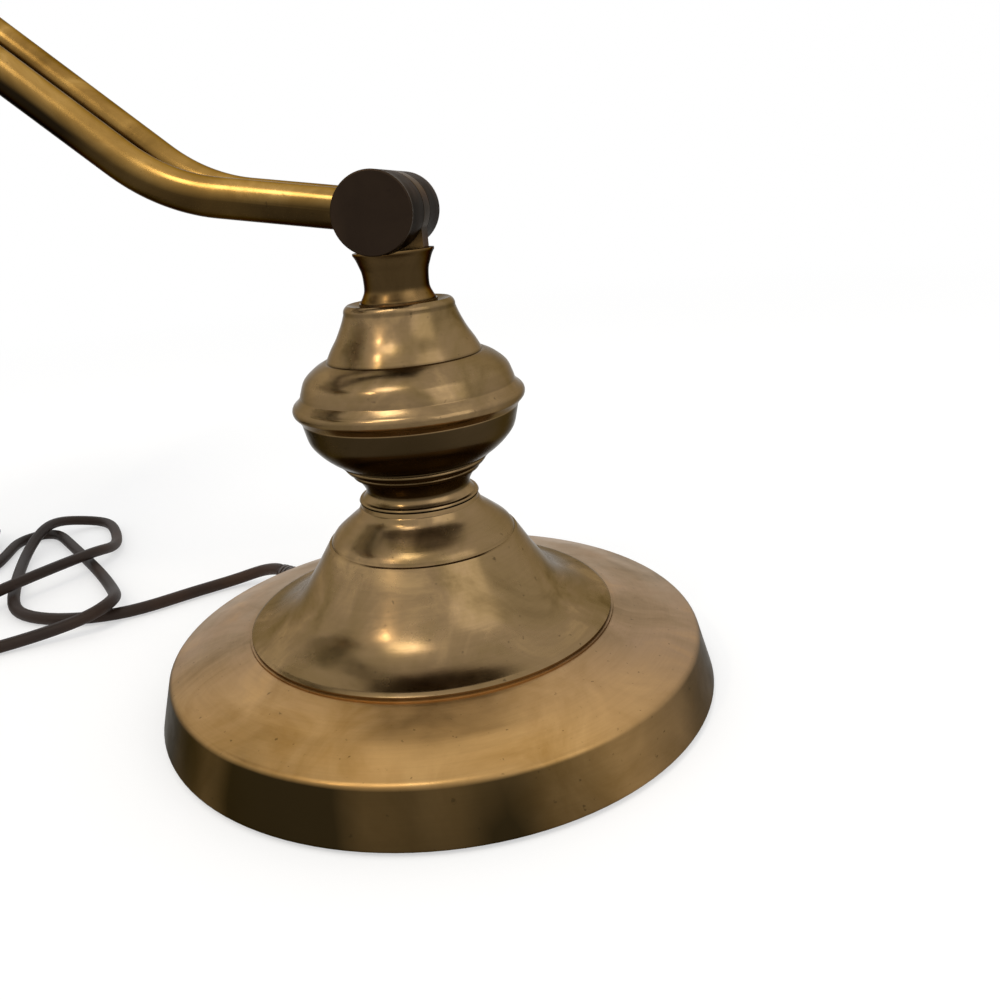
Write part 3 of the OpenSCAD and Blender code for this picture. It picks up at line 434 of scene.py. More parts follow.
# %% Aged brass
def brass(name, tones, dark, rough, streak=0.3, spots=0.5, front=None, edge=0.6):
    """tones: four colours from dark to light; dark: the colour of the dark spots and of the painted
    shade; front: a lighter golden colour painted on the front (-Y) side, a painted reflection;
    edge: how much the metal still mirrors where it turns away."""
    m, tree, shader = material(name, tones[1], 1.0, rough)
    where, grain = object_coords(tree), attribute(tree, "grain")
    patches = noise(tree, where, 42, 5, 0.6, 0.9)
    color = ramp(tree, patches, list(zip((0.30, 0.45, 0.56, 0.70), tones)))
    clouds = noise(tree, where, 13, 3, 0.5)
    color = mix(tree, spread(tree, clouds, 0.0, 0.55, 0.42, 0.68), color, tones[2])
    # Painted reflection: the front (-Y) side is painted a lighter golden.
    if front:
        y = add(tree, "ShaderNodeSeparateXYZ", {"Vector": where}).outputs["Y"]
        golden = ramp(tree, patches, [(0.35, front[0]), (0.65, front[1])])
        color = mix(tree, spread(tree, y, 0.0, 0.85, -0.020, -0.062), color, golden)
    lines = noise(tree, grain, 1500, 3, 0.6)
    shade = ramp(tree, lines, [(0.3, (0.76, 0.76, 0.76, 1)), (0.7, (1, 1, 1, 1))])
    color = mix(tree, streak, color, shade, "MULTIPLY")
    freckles = noise(tree, where, 620, 2, 0.5)
    spot = spread(tree, freckles, 0.0, spots, 0.70, 0.76)
    color = mix(tree, spot, color, dark)
    # Painted shade: where the shade attribute is high the colour goes to dark, made patchy by the
    # clouds.
    patchy_shade = spread(tree, clouds, 1.06, 0.88, 0.35, 0.65)
    painted_shade = times(tree, attribute(tree, "painted_shade", "Fac"), patchy_shade)
    color = mix(tree, painted_shade, color, dark)
    tree.links.new(color, shader.inputs["Base Color"])
    # Where the painted shade lies, the edge reflection is dulled as well.
    dull = min(edge, 0.47)
    mirror = mix(tree, painted_shade, (edge, 0.95 * edge, 0.88 * edge, 1),
                 (dull, 0.98 * dull, 0.94 * dull, 1))
    tree.links.new(mirror, shader.inputs["Specular Tint"])
    gloss = spread(tree, noise(tree, where, 90, 4, 0.6), rough - 0.05, rough + 0.08, 0.3, 0.7)
    tree.links.new(gloss, shader.inputs["Roughness"])
    bump(tree, shader, lines, 0.04, 0.0002)
    return m


# The foot's brass carries the painted golden reflection on its front side.
foot_brass = brass("foot_brass", [linear(112, 88, 56), linear(138, 112, 80),
                   linear(150, 122, 92), linear(168, 134, 94)], linear(42, 33, 17), 0.36,
                   front=(linear(176, 134, 74), linear(202, 160, 100)), edge=0.92)
aged_brass = brass("stem_brass", [linear(98, 79, 48), linear(124, 102, 68),
                   linear(134, 110, 78), linear(160, 132, 92)], linear(40, 31, 17), 0.22,
                   edge=0.5)
neck_brass = brass("neck_brass", [linear(84, 64, 36), linear(108, 84, 50),
                   linear(122, 96, 60), linear(146, 116, 72)], linear(36, 28, 16), 0.30,
                   edge=0.3)
arm_brass = brass("arm_brass", [linear(118, 88, 40), linear(148, 112, 56), linear(168, 130, 68),
                  linear(198, 158, 92)], linear(28, 21, 12), 0.24, 0.3, 0.4, edge=0.4)
dark_brass = brass("knuckle_brass", [linear(46, 35, 22), linear(60, 46, 29),
                   linear(72, 55, 35), linear(90, 70, 44)], linear(34, 27, 20), 0.36, 0.2,
                   edge=0.3)
# The caps are painted almost black-brown: a painted dark reflection of the room their flat faces
# look at.
cap_brass = brass("cap_brass", [linear(40, 31, 24), linear(50, 39, 30), linear(58, 46, 35),
                  linear(72, 56, 42)], linear(36, 28, 22), 0.40, 0.2)
bright_brass = brass("bright_brass", [linear(140, 108, 56), linear(168, 132, 74),
                     linear(186, 150, 90), linear(204, 170, 108)], linear(84, 64, 34), 0.22,
                     0.25, 0.3)

# %% [markdown]
# Everything else on the lamp is steel, cast iron, glass, moulded plastic, rubber, felt,
# porcelain or card. One maker's helper gives each its colour variation and its bump.

# %% Plain finishes with their own grain
def mottled(name, low, high, scale, rough, metal=0.0, detail=4, bumpy=0.1, depth=0.0002,
            bump_scale=None, rough_play=0.06, coat=0.0):
    m, tree, shader = material(name, high, metal, rough)
    if metal:
        shader.inputs["Specular Tint"].default_value = (0.5, 0.5, 0.5, 1)
    where = object_coords(tree)
    cloud = noise(tree, where, scale, detail, 0.6)
    tree.links.new(ramp(tree, cloud, [(0.32, low), (0.68, high)]), shader.inputs["Base Color"])
    fine = noise(tree, where, bump_scale or scale * 6, 3, 0.6)
    tree.links.new(spread(tree, fine, rough - rough_play, rough + rough_play, 0.3, 0.7),
                   shader.inputs["Roughness"])
    shader.inputs["Coat Weight"].default_value = coat
    bump(tree, shader, fine, bumpy, depth)
    return m


steel = mottled("zinc_plated_steel", linear(150, 150, 148), linear(196, 196, 194), 160, 0.34, 1.0)
blued_steel = mottled("blued_spring_steel", linear(44, 40, 40), linear(66, 58, 52), 240, 0.4, 0.9)
cast_iron = mottled("cast_iron_skin", linear(38, 38, 40), linear(70, 68, 66), 120, 0.72, 0.3,
                    bumpy=0.6, depth=0.0006, bump_scale=700)
felt = mottled("pressed_felt", linear(24, 40, 27), linear(46, 68, 48), 900, 0.95,
               bumpy=0.8, depth=0.0008, bump_scale=2600)
cushion_felt = mottled("cushion_felt", linear(52, 52, 50), linear(80, 78, 74), 900, 0.95,
                       bumpy=0.8, depth=0.0005, bump_scale=2600)
opal = mottled("frosted_bulb_glass", linear(234, 231, 223), linear(240, 238, 231), 14, 0.34,
               bumpy=0.01, bump_scale=240, rough_play=0.02)
bulb_metal = mottled("bulb_cap_metal", linear(158, 154, 142), linear(194, 190, 178), 220, 0.3, 1.0)
porcelain = mottled("glazed_porcelain", linear(214, 206, 188), linear(232, 226, 212), 80, 0.2,
                    coat=0.6)
liner_card = mottled("fibre_card", linear(96, 74, 50), linear(126, 100, 70), 420, 0.85,
                     bumpy=0.4)
brown_plastic = mottled("brown_plastic", linear(40, 25, 16), linear(58, 38, 26), 70, 0.42,
                        bumpy=0.12, bump_scale=1600)
black_plastic = mottled("knob_plastic", linear(22, 19, 18), linear(40, 34, 31), 90, 0.33,
                        bumpy=0.1, bump_scale=1400)
tie_rubber = mottled("tie_rubber", linear(24, 23, 24), linear(44, 42, 42), 200, 0.6)
print("finishes:", len(bpy.data.materials))

# %% [markdown]
# The cord is soft brown vinyl: dull, a little greyer where it was rubbed, with the moulding's
# faint lines along it. `grain` holds the place in the section and the way along the cord, so the
# lines follow every bend.

# %% Cord vinyl
cord_vinyl, tree, shader = material("cord_vinyl", linear(38, 26, 17), 0.0, 0.55)
grain, where = attribute(tree, "grain"), object_coords(tree)
along = add(tree, "ShaderNodeMapping", {"Vector": grain, "Scale": (1400, 1400, 30)})
lines = noise(tree, along.outputs["Vector"], 1.0, 3, 0.5)
rubbed = noise(tree, where, 28, 3, 0.5)
color = ramp(tree, rubbed, [(0.35, linear(30, 18, 10)), (0.55, linear(41, 26, 15)),
                            (0.72, linear(58, 38, 23))])
shade = ramp(tree, lines, [(0.3, (0.8, 0.8, 0.8, 1)), (0.7, (1, 1, 1, 1))])
color = mix(tree, 0.5, color, shade, "MULTIPLY")
tree.links.new(color, shader.inputs["Base Color"])
tree.links.new(spread(tree, rubbed, 0.5, 0.64, 0.3, 0.7), shader.inputs["Roughness"])
bump(tree, shader, lines, 0.12, 0.0002)
shader.inputs["Specular IOR Level"].default_value = 0.25

finish_piece(lamp_cord, cord_vinyl, ["cord_lead", "cord_hank", "cord_tail"], "base")

# %% [markdown]
# ## Cased glass
# The shade's glass is green outside and white inside, blown in two layers. The green has depth,
# so its colour drifts slowly and a clear coat carries the gloss. One mesh has both layers: the
# faces that look at the bulb are opal.

# %% Green and opal glass
green_glass, tree, shader = material("green_cased_glass", linear(4, 66, 36), 0.0, 0.07)
where = object_coords(tree)
drift = noise(tree, where, 16, 3, 0.5, 0.4)
tree.links.new(ramp(tree, drift, [(0.3, linear(1, 52, 27)), (0.7, linear(4, 72, 39))]),
               shader.inputs["Base Color"])
shader.inputs["Specular IOR Level"].default_value = 0.30
shader.inputs["Coat Weight"].default_value = 0.12
shader.inputs["Coat Roughness"].default_value = 0.03
bump(tree, shader, noise(tree, where, 30, 2, 0.5), 0.04, 0.001)

opal_lining = mottled("opal_lining", linear(222, 224, 216), linear(234, 235, 228), 30, 0.22,
                      bumpy=0.02, coat=0.5)

# %% [markdown]
# ## Geometry Nodes
# Ribs repeat and tubes follow a line, so node trees make them. Each tree takes its sizes as
# named inputs, and each result is turned into a plain mesh before it gets its body.

# %% Helpers for the trees
FLOAT, COUNT, FINISH = "NodeSocketFloat", "NodeSocketInt", "NodeSocketMaterial"


def new_tree(name, sizes):
    """A tree with geometry in and out, and a named input for each size."""
    tree = bpy.data.node_groups.new(name, "GeometryNodeTree")
    tree.interface.new_socket("Geometry", in_out="OUTPUT", socket_type="NodeSocketGeometry")
    tree.interface.new_socket("Geometry", in_out="INPUT", socket_type="NodeSocketGeometry")
    for size, kind in sizes.items():
        tree.interface.new_socket(size, in_out="INPUT", socket_type=kind)
    return tree, tree.nodes.new("NodeGroupInput").outputs, tree.nodes.new("NodeGroupOutput")


def run_tree(obj, tree, values):
    step = obj.modifiers.new(tree.name, "NODES")
    step.node_group = tree
    for socket in tree.interface.items_tree:
        if socket.in_out == "INPUT" and socket.name in values:
            step[socket.identifier] = values[socket.name]
    return baked(obj)


# %% Tree for ribs round a turned piece
rib_ring, given, result = new_tree("rib_ring", {"Ring radius": FLOAT, "Rib radius": FLOAT,
                                   "Rib length": FLOAT, "Ribs": COUNT, "Finish": FINISH})
ring = add(rib_ring, "GeometryNodeMeshCircle", {"Vertices": given["Ribs"],
           "Radius": given["Ring radius"]})
rib = add(rib_ring, "GeometryNodeMeshCylinder", {"Vertices": 12, "Side Segments": 1,
          "Radius": given["Rib radius"], "Depth": given["Rib length"]})
ribs = add(rib_ring, "GeometryNodeInstanceOnPoints", {"Points": ring.outputs["Mesh"],
           "Instance": rib.outputs["Mesh"]})
solid_ribs = add(rib_ring, "GeometryNodeRealizeInstances",
                 {"Geometry": ribs.outputs["Instances"]})
both = add(rib_ring, "GeometryNodeJoinGeometry", {"Geometry": given["Geometry"]})
rib_ring.links.new(solid_ribs.outputs["Geometry"], both.inputs["Geometry"])
finished = add(rib_ring, "GeometryNodeSetMaterial", {"Geometry": both.outputs["Geometry"],
               "Material": given["Finish"]})
rib_ring.links.new(finished.outputs["Geometry"], result.inputs["Geometry"])


# %% Turned pieces
def turned(name, outline, place, steps=64):
    """Spins a closed outline of (radius, height) in metres about an axis."""
    vertices, faces = [], []
    n = len(outline)
    for k in range(steps):
        a = 2 * math.pi * k / steps
        vertices += [place @ Vector((r * math.cos(a), r * math.sin(a), h)) for r, h in outline]
    for k in range(steps):
        for i in range(n):
            j, m = (i + 1) % n, (k + 1) % steps
            if outline[i][0] < 1e-9 and outline[j][0] < 1e-9:
                continue
            faces.append((k * n + i, m * n + i, m * n + j, k * n + j))
    obj = new_object(name, vertices, faces)
    sharpen(obj, 38)
    return obj


# %% [markdown]
# ## Ends of the cord
# The strain relief is a tapered rubber piece with slots that let it bend. The plug is moulded
# on its cord in one shot: a tapered neck with rings, a flat body with grip ribs on both faces,
# and two brass blades with a hole near the tip. A rubber band holds the hank at its waist.

# %% Strain relief
along_exit = Matrix.Translation(exit_dir * 0.0778 + Vector((0, 0, 0.0076))) @ Matrix.Rotation(
    exit_angle, 4, "Z") @ Matrix.Rotation(math.radians(90), 4, "Y")
outline = [(0.00235, -0.006), (0.0034, -0.006), (0.0039, -0.005), (0.0039, 0.0012),
           (0.0052, 0.0015), (0.0053, 0.0022), (0.0052, 0.0029), (0.0044, 0.0035)]
for k in range(4):
    at, r = 0.0045 + 0.0025 * k, 0.0041 - 0.0003 * k
    outline += [(r, at), (r - 0.00005, at + 0.0013), (r - 0.0009, at + 0.0015),
                (r - 0.0009, at + 0.0022)]
outline += [(0.0029, 0.0147), (0.0027, 0.015), (0.00235, 0.015)]
strain_relief = turned("strain_relief", outline, along_exit, 48)
finish_piece(strain_relief, brown_plastic, ["cord_bushing"], "base")

# %% Band round the hank
waist = [p.x - hank_x for p in (hank_point(hank_turns * i / (4 * hank_count))
         for i in range(4 * hank_count + 1)) if abs(p.y - hank_y) < 0.007]
left, wide = cord_r + 0.0003 - min(waist), cord_r + 0.0003 + max(waist)
high, band_t, band_w, corner = 0.0107, 0.0005, 0.007, 0.0022
inside = []
for cx, cz, a0 in ((wide - corner, band_t + corner, -90), (wide - corner, high - corner, 0),
                   (corner - left, high - corner, 90), (corner - left, band_t + corner, 180)):
    for k in range(9):
        a = math.radians(a0 + 90 * k / 8)
        inside.append((cx, cz, math.cos(a), math.sin(a)))
rim = [(0.0, -0.5), (0.0003, -0.5), (0.0005, -0.42), (0.0005, 0.42), (0.0003, 0.5), (0.0, 0.5)]
vertices, faces = [], []
for cx, cz, ux, uz in inside:
    vertices += [(hank_x + cx + ux * (corner + t), hank_y + band_w * w,
                  cz + uz * (corner + t)) for t, w in rim]
for k in range(len(inside)):
    for i in range(len(rim)):
        j, m = (i + 1) % len(rim), (k + 1) % len(inside)
        faces.append((k * 6 + i, m * 6 + i, m * 6 + j, k * 6 + j))
hank_band = new_object("hank_band", vertices, faces)
sharpen(hank_band, 45)
finish_piece(hank_band, tie_rubber, ["cord_tie"], "base")

# %% Plug body
plug_stations = [(0.0, 2.7, 2.7, 2), (0.0006, 3.1, 3.1, 2)]
for k in range(4):
    at, r = 0.0012 + 0.0036 * k, 3.2 + 0.45 * k
    plug_stations += [(at, r, r, 2), (at + 0.0022, r + 0.25, r + 0.25, 2),
                      (at + 0.0024, r - 0.5, r - 0.5, 2), (at + 0.0034, r - 0.4, r - 0.4, 2)]
plug_stations += [(0.0158, 4.7, 4.7, 2), (0.0175, 5.6, 5.2, 2.1), (0.0190, 7.2, 6.0, 2.3),
                  (0.0205, 9.1, 6.7, 2.6), (0.0225, 10.3, 7.0, 2.8), (0.0260, 10.4, 6.9, 3),
                  (0.0310, 9.9, 6.5, 3), (0.0370, 9.9, 6.5, 3), (0.0420, 10.4, 6.9, 3),
                  (0.0455, 10.4, 6.9, 3), (0.0466, 10.1, 6.6, 3), (0.0470, 9.5, 6.0, 3)]
vertices, faces, around = [], [], 48
for at, w, h, power in plug_stations:
    for k in range(around):
        a = 2 * math.pi * k / around
        c, q = math.cos(a), math.sin(a)
        vertices.append(plug_tip + Vector((
            math.copysign(abs(c) ** (2 / power), c) * w * MM, -at,
            math.copysign(abs(q) ** (2 / power), q) * h * MM)))
for i in range(len(plug_stations) - 1):
    for k in range(around):
        a, b = i * around + k, i * around + (k + 1) % around
        faces.append((a, b, b + around, a + around))
faces.append(tuple(range(around)))
faces.append(tuple((len(plug_stations) - 1) * around + k for k in range(around)))
moulded_plug = new_object("moulded_plug", vertices, faces)

# %% [markdown]
# The grip ribs stand in a row on both flat faces of the plug. A line of points carries them,
# and the tree repeats one rounded bar along it.

# %% Tree for a row of grip ribs
rib_row, given, result = new_tree("grip_ribs", {"Pitch": FLOAT, "Rib radius": FLOAT,
                                  "Rib length": FLOAT, "Height": FLOAT, "First": FLOAT,
                                  "Ribs": COUNT, "Middle": FLOAT, "Level": FLOAT,
                                  "Finish": FINISH})
down_pitch = times(rib_row, given["Pitch"], -1.0)
step_back = add(rib_row, "ShaderNodeCombineXYZ", {"Y": down_pitch})
bar = add(rib_row, "GeometryNodeMeshCylinder", {"Vertices": 12, "Side Segments": 1,
          "Radius": given["Rib radius"], "Depth": given["Rib length"]})
sides = add(rib_row, "GeometryNodeJoinGeometry", {"Geometry": given["Geometry"]})
for side in (1.0, -1.0):
    level = add(rib_row, "ShaderNodeMath", {0: times(rib_row, given["Height"], side),
                1: given["Level"]}, operation="ADD")
    begin = add(rib_row, "ShaderNodeCombineXYZ", {"X": given["Middle"], "Y": given["First"],
                "Z": level.outputs[0]})
    row = add(rib_row, "GeometryNodeMeshLine", {"Count": given["Ribs"],
              "Start Location": begin.outputs[0], "Offset": step_back.outputs[0]})
    bars = add(rib_row, "GeometryNodeInstanceOnPoints", {"Points": row.outputs["Mesh"],
               "Instance": bar.outputs["Mesh"], "Rotation": (0.0, math.radians(90), 0.0)})
    rib_row.links.new(bars.outputs["Instances"], sides.inputs["Geometry"])
real = add(rib_row, "GeometryNodeRealizeInstances", {"Geometry": sides.outputs["Geometry"]})
finished = add(rib_row, "GeometryNodeSetMaterial", {"Geometry": real.outputs["Geometry"],
               "Material": given["Finish"]})
rib_row.links.new(finished.outputs["Geometry"], result.inputs["Geometry"])

run_tree(moulded_plug, rib_row, {"Pitch": 0.0024, "Rib radius": 0.0006, "Rib length": 0.0100,
         "Height": 0.0063, "First": plug_tip.y - 0.0292, "Ribs": 5, "Middle": plug_tip.x,
         "Level": plug_tip.z, "Finish": brown_plastic})
sharpen(moulded_plug, 40)
finish_piece(moulded_plug, brown_plastic, ["plug_body"], "base")
print("plug faces:", len(moulded_plug.data.polygons))

# %% Plug blades
blade_root = plug_tip.y - 0.0391
blade_tip = plug_tip.y - 0.0640
vertices, faces = [], []
for side in (-1, 1):
    middle = Vector((plug_tip.x + side * 0.00635, blade_tip + 0.0042, plug_tip.z))
    outline = []
    for cy, cz, a0 in ((blade_root - 0.0001, 0.00305, 0), (blade_tip + 0.0014, 0.00175, 90),
                       (blade_tip + 0.0014, -0.00175, 180), (blade_root - 0.0001, -0.00305, 270)):
        r = 0.0001 if cy > blade_tip + 0.002 else 0.0014
        for k in range(7):
            a = math.radians(a0 + 90 * k / 6)
            outline.append((cy + r * math.cos(a), cz + r * math.sin(a)))
    outline = [(y, max(min(z, 0.00315), -0.00315)) for y, z in outline]
    base_index, n = len(vertices), len(outline)
    for x, shrink in ((-0.00075, 0.00018), (-0.00055, 0), (0.00055, 0), (0.00075, 0.00018)):
        for y, z in outline:
            out = Vector((0, y - middle.y, z)).normalized() * shrink
            vertices.append(Vector((middle.x + x, y, middle.z + z)) - out)
    for x in (-0.00075, 0.00075):
        for y, z in outline:
            out = Vector((0, y - middle.y, z)).normalized() * 0.0016
            vertices.append(middle + Vector((x, 0, 0)) + out)
    rings = [0, 1, 2, 3, 5, 4]
    for a, b in zip(rings, rings[1:] + rings[:1]):
        for k in range(n):
            m = (k + 1) % n
            faces.append((base_index + a * n + k, base_index + a * n + m,
                          base_index + b * n + m, base_index + b * n + k))
brass_blades = new_object("brass_blades", vertices, faces)
sharpen(brass_blades, 40)
add_grain(brass_blades, "cast", under=0.0)
finish_piece(brass_blades, bright_brass, ["plug_blades"], "base")

# %% [markdown]
# ## Base and stem
# The foot, the cone, the spool, the ball, the bell and the neck are spun or turned one by one
# and threaded over a lamp pipe. Their CAD shapes are already right, so each gets a clean copy
# with smooth shading.

# %% Base and stem
# How much painted shade each turned piece takes on its sides and undersides.
stem_painted_shade = {"base_shell": 0.5, "base_cone": 0.6, "stem_spool": 0.85, "ball_lower": 0.9,
                "ball_upper": 0.45, "stem_bell": 0.5, "stem_neck": 0.75}
for node, under in stem_painted_shade.items():
    finish = {"base_shell": foot_brass, "stem_neck": neck_brass}.get(node, aged_brass)
    piece = smooth_copy(node, finish, "z", under=under)
    print(node, len(piece.data.polygons), "faces")
    if node == "base_shell":
        foot = piece

# %% [markdown]
# The wall of the foot is painted much darker than its top: painted shade, standing in for the
# dark table it stands close to and reflects. At the front right a lighter golden band is left,
# with a ripple round the wall: a painted reflection of a bright thing on that side.

# %% Dark wall of the foot
# Painted shade fills the wall below its top edge, rippled round the wall and lighter at the front
# right, where a bright reflection is painted.
wall_top, painted_reflection_angle = 0.0158, math.radians(-39)
painted_shade = foot.data.attributes["painted_shade"].data
for v in foot.data.vertices:
    around = math.atan2(v.co.y, v.co.x) - painted_reflection_angle
    painted_reflection = math.exp(-(math.sin(around / 2) / 0.17) ** 2)
    below = min(max((wall_top - v.co.z) / 0.0016, 0), 1)
    streak = 0.06 * math.sin(9 * around) + 0.05 * math.sin(23 * around + 1)
    painted_shade[v.index].value = max(painted_shade[v.index].value, below * (1.0 - 0.38 * painted_reflection + 0.7 * streak))

# %% [markdown]
# ## Arm
# Two brass tubes run side by side, each bent twice to a 51 mm radius. A bender works on a
# straight tube, and so does this tree: four points give the straight line of each run, the
# corners are filleted, and a round section follows the line.

# %% Tree for a bent tube
bent_tube, given, result = new_tree("bent_tube", {"Tube radius": FLOAT, "Bend radius": FLOAT,
                                    "Steps in a bend": COUNT, "Painted shade": FLOAT,
                                    "Finish": FINISH})
line = add(bent_tube, "GeometryNodeMeshToCurve", {"Mesh": given["Geometry"]})
bent = add(bent_tube, "GeometryNodeFilletCurve", {"Curve": line.outputs["Curve"],
           "Radius": given["Bend radius"], "Count": given["Steps in a bend"]}, mode="POLY")
way = add(bent_tube, "GeometryNodeSplineParameter")
with_way = add(bent_tube, "GeometryNodeStoreNamedAttribute", {"Geometry": bent.outputs["Curve"],
               "Name": "way", "Value": way.outputs["Length"]}, data_type="FLOAT",
               domain="POINT")
circle = add(bent_tube, "GeometryNodeCurvePrimitiveCircle", {"Resolution": 56,
             "Radius": given["Tube radius"]})
here = add(bent_tube, "GeometryNodeInputPosition")
with_side = add(bent_tube, "GeometryNodeStoreNamedAttribute", {"Geometry":
                circle.outputs["Curve"], "Name": "side", "Value": here.outputs["Position"]},
                data_type="FLOAT_VECTOR", domain="POINT")
wall = add(bent_tube, "GeometryNodeCurveToMesh", {"Curve": with_way.outputs["Geometry"],
           "Profile Curve": with_side.outputs["Geometry"], "Fill Caps": True})
side_xyz = add(bent_tube, "ShaderNodeSeparateXYZ", {"Vector": add(bent_tube,
               "GeometryNodeInputNamedAttribute", {"Name": "side"},
               data_type="FLOAT_VECTOR").outputs["Attribute"]})
grain_xyz = add(bent_tube, "ShaderNodeCombineXYZ", {"X": side_xyz.outputs["X"],
                "Y": side_xyz.outputs["Y"], "Z": times(bent_tube, add(bent_tube,
                "GeometryNodeInputNamedAttribute", {"Name": "way"},
                data_type="FLOAT").outputs["Attribute"], 0.04)})
with_grain = add(bent_tube, "GeometryNodeStoreNamedAttribute", {"Geometry":
                 wall.outputs["Mesh"], "Name": "grain", "Value": grain_xyz.outputs[0]},
                 data_type="FLOAT_VECTOR", domain="POINT")
upright = add(bent_tube, "ShaderNodeSeparateXYZ", {"Vector": add(bent_tube,
              "GeometryNodeInputNormal").outputs["Normal"]})
# Painted shade: the tube's sides and underside take the dark colour, standing in for the dark
# surroundings they reflect.
painted_side_shade = times(bent_tube, spread(bent_tube, upright.outputs["Z"], 0.0, 1.0, 0.58, -0.12),
                    given["Painted shade"])
with_tarnish = add(bent_tube, "GeometryNodeStoreNamedAttribute", {"Geometry":
                   with_grain.outputs["Geometry"], "Name": "painted_shade", "Value": painted_side_shade},
                   data_type="FLOAT", domain="POINT")
smooth = add(bent_tube, "GeometryNodeSetShadeSmooth", {"Geometry":
             with_tarnish.outputs["Geometry"]})
real = add(bent_tube, "GeometryNodeRealizeInstances", {"Geometry": smooth.outputs["Geometry"]})
finished = add(bent_tube, "GeometryNodeSetMaterial", {"Geometry": real.outputs["Geometry"],
               "Material": given["Finish"]})
bent_tube.links.new(finished.outputs["Geometry"], result.inputs["Geometry"])

# %% The two tubes
arm_axis = Vector((0, 0, 0.1331))
shade_axis = Vector((-0.212387, 0, 0.242871))
end_angle, run_angle, bend_r = math.radians(10), math.radians(41), 0.051
tube_start, straight_end, tube_y = 0.0066, 0.0407, 0.012


def toward_shade(length, angle):
    return Vector((-length * math.cos(angle), 0, length * math.sin(angle)))


corner_in = bend_r * math.tan((run_angle - end_angle) / 2)
tube_points = [arm_axis + toward_shade(tube_start, end_angle),
               arm_axis + toward_shade(straight_end + corner_in, end_angle),
               shade_axis - toward_shade(straight_end + corner_in, end_angle),
               shade_axis - toward_shade(tube_start, end_angle)]
for name, node, side in (("front_arm_tube", "front_tube", -1), ("rear_arm_tube", "rear_tube", 1)):
    mesh = bpy.data.meshes.new(name)
    mesh.from_pydata([p + Vector((0, side * tube_y, 0)) for p in tube_points],
                     [(0, 1), (1, 2), (2, 3)], [])
    tube = bpy.data.objects.new(name, mesh)
    scene.collection.objects.link(tube)
    run_tree(tube, bent_tube, {"Tube radius": 0.005, "Bend radius": bend_r,
             "Steps in a bend": 24, "Painted shade": 0.98, "Finish": arm_brass})
    sharpen(tube, 50)
    finish_piece(tube, arm_brass, [node], "arm")
    print(name, "faces:", len(tube.data.polygons))

# %% Knuckles and their caps
for node, axis in (("front_arm_knuckle", arm_axis), ("rear_arm_knuckle", arm_axis),
                   ("front_shade_knuckle", shade_axis), ("rear_shade_knuckle", shade_axis)):
    smooth_copy(node, dark_brass, "y", (axis.x, axis.z), bevel=0.0003)
for node, axis in (("arm_caps", arm_axis), ("shade_caps", shade_axis)):
    smooth_copy(node, cap_brass, "y", (axis.x, axis.z), bevel=0.0004)

# %% [markdown]
# ## Shade
# The picture ends before the shade, so this is the usual one: a trough of green cased glass,
# 216 mm long, held by a brass strap with two finials. The glass is one grid that goes out over
# the green side and back over the white side, and its lips are rounded, as the fire leaves
# them.

# %% The glass
trough = Vector((-0.242387, 0, 0.234871))
shade_r, glass_t, half_len, end_round = 0.0615, 0.0035, 0.108, 0.022
lip_high, lip_way = 0.01015, math.radians(104.5)


def trough_row(y, r, share=1.0, columns=72):
    """Arc at y from lip to lip; share below 1 draws it in towards the straight lip."""
    along, up = math.cos(lip_way), math.sin(lip_way)
    open_half, row = math.acos(lip_high / r), []
    for k in range(columns + 1):
        a = open_half * (2 * k / columns - 1)
        high = lip_high + share * (r * math.cos(a) - lip_high)
        wide = r * math.sin(a)
        row.append(trough + Vector((high * along - wide * up, y, high * up + wide * along)))
    return row


def trough_grid(r, half, rounding):
    """Rows from one end to the other: flat end, rounded edge, straight body."""
    end = [(half, r - rounding, share) for share in (0.0, 0.25, 0.5, 0.75)]
    for k in range(13):
        a = math.radians(90 - 90 * k / 12)
        end.append((half - rounding + rounding * math.sin(a),
                    r - rounding + rounding * math.cos(a), 1.0))
    body = [((half - rounding) * (1 - 2 * k / 30), r, 1.0) for k in range(1, 30)]
    return ([trough_row(-y, q, share) for y, q, share in end]
            + [trough_row(-y, q, share) for y, q, share in body]
            + [trough_row(y, q, share) for y, q, share in reversed(end)])


outer = trough_grid(shade_r, half_len, end_round)
inner = trough_grid(shade_r - glass_t, half_len - glass_t, end_round - glass_t)
rows, wide = len(outer), len(outer[0])
vertices = [p for row in outer for p in row] + [p for row in inner for p in row]
faces, shell = [], rows * wide
for i in range(rows - 1):
    for k in range(wide - 1):
        a = i * wide + k
        faces.append((a, a + 1, a + 1 + wide, a + wide))
for i in range(rows - 1):
    for k in range(wide - 1):
        a = shell + i * wide + k
        faces.append((a, a + wide, a + 1 + wide, a + 1))
edge = ([k for k in range(wide)] + [i * wide + wide - 1 for i in range(1, rows)]
        + [(rows - 1) * wide + k for k in range(wide - 2, -1, -1)]
        + [i * wide for i in range(rows - 2, 0, -1)])
for a, b in zip(edge, edge[1:] + edge[:1]):
    faces.append((a, shell + a, shell + b, b))
shade_piece = new_object("cased_glass_shade", vertices, faces)
print("glass:", len(shade_piece.data.polygons), "faces")

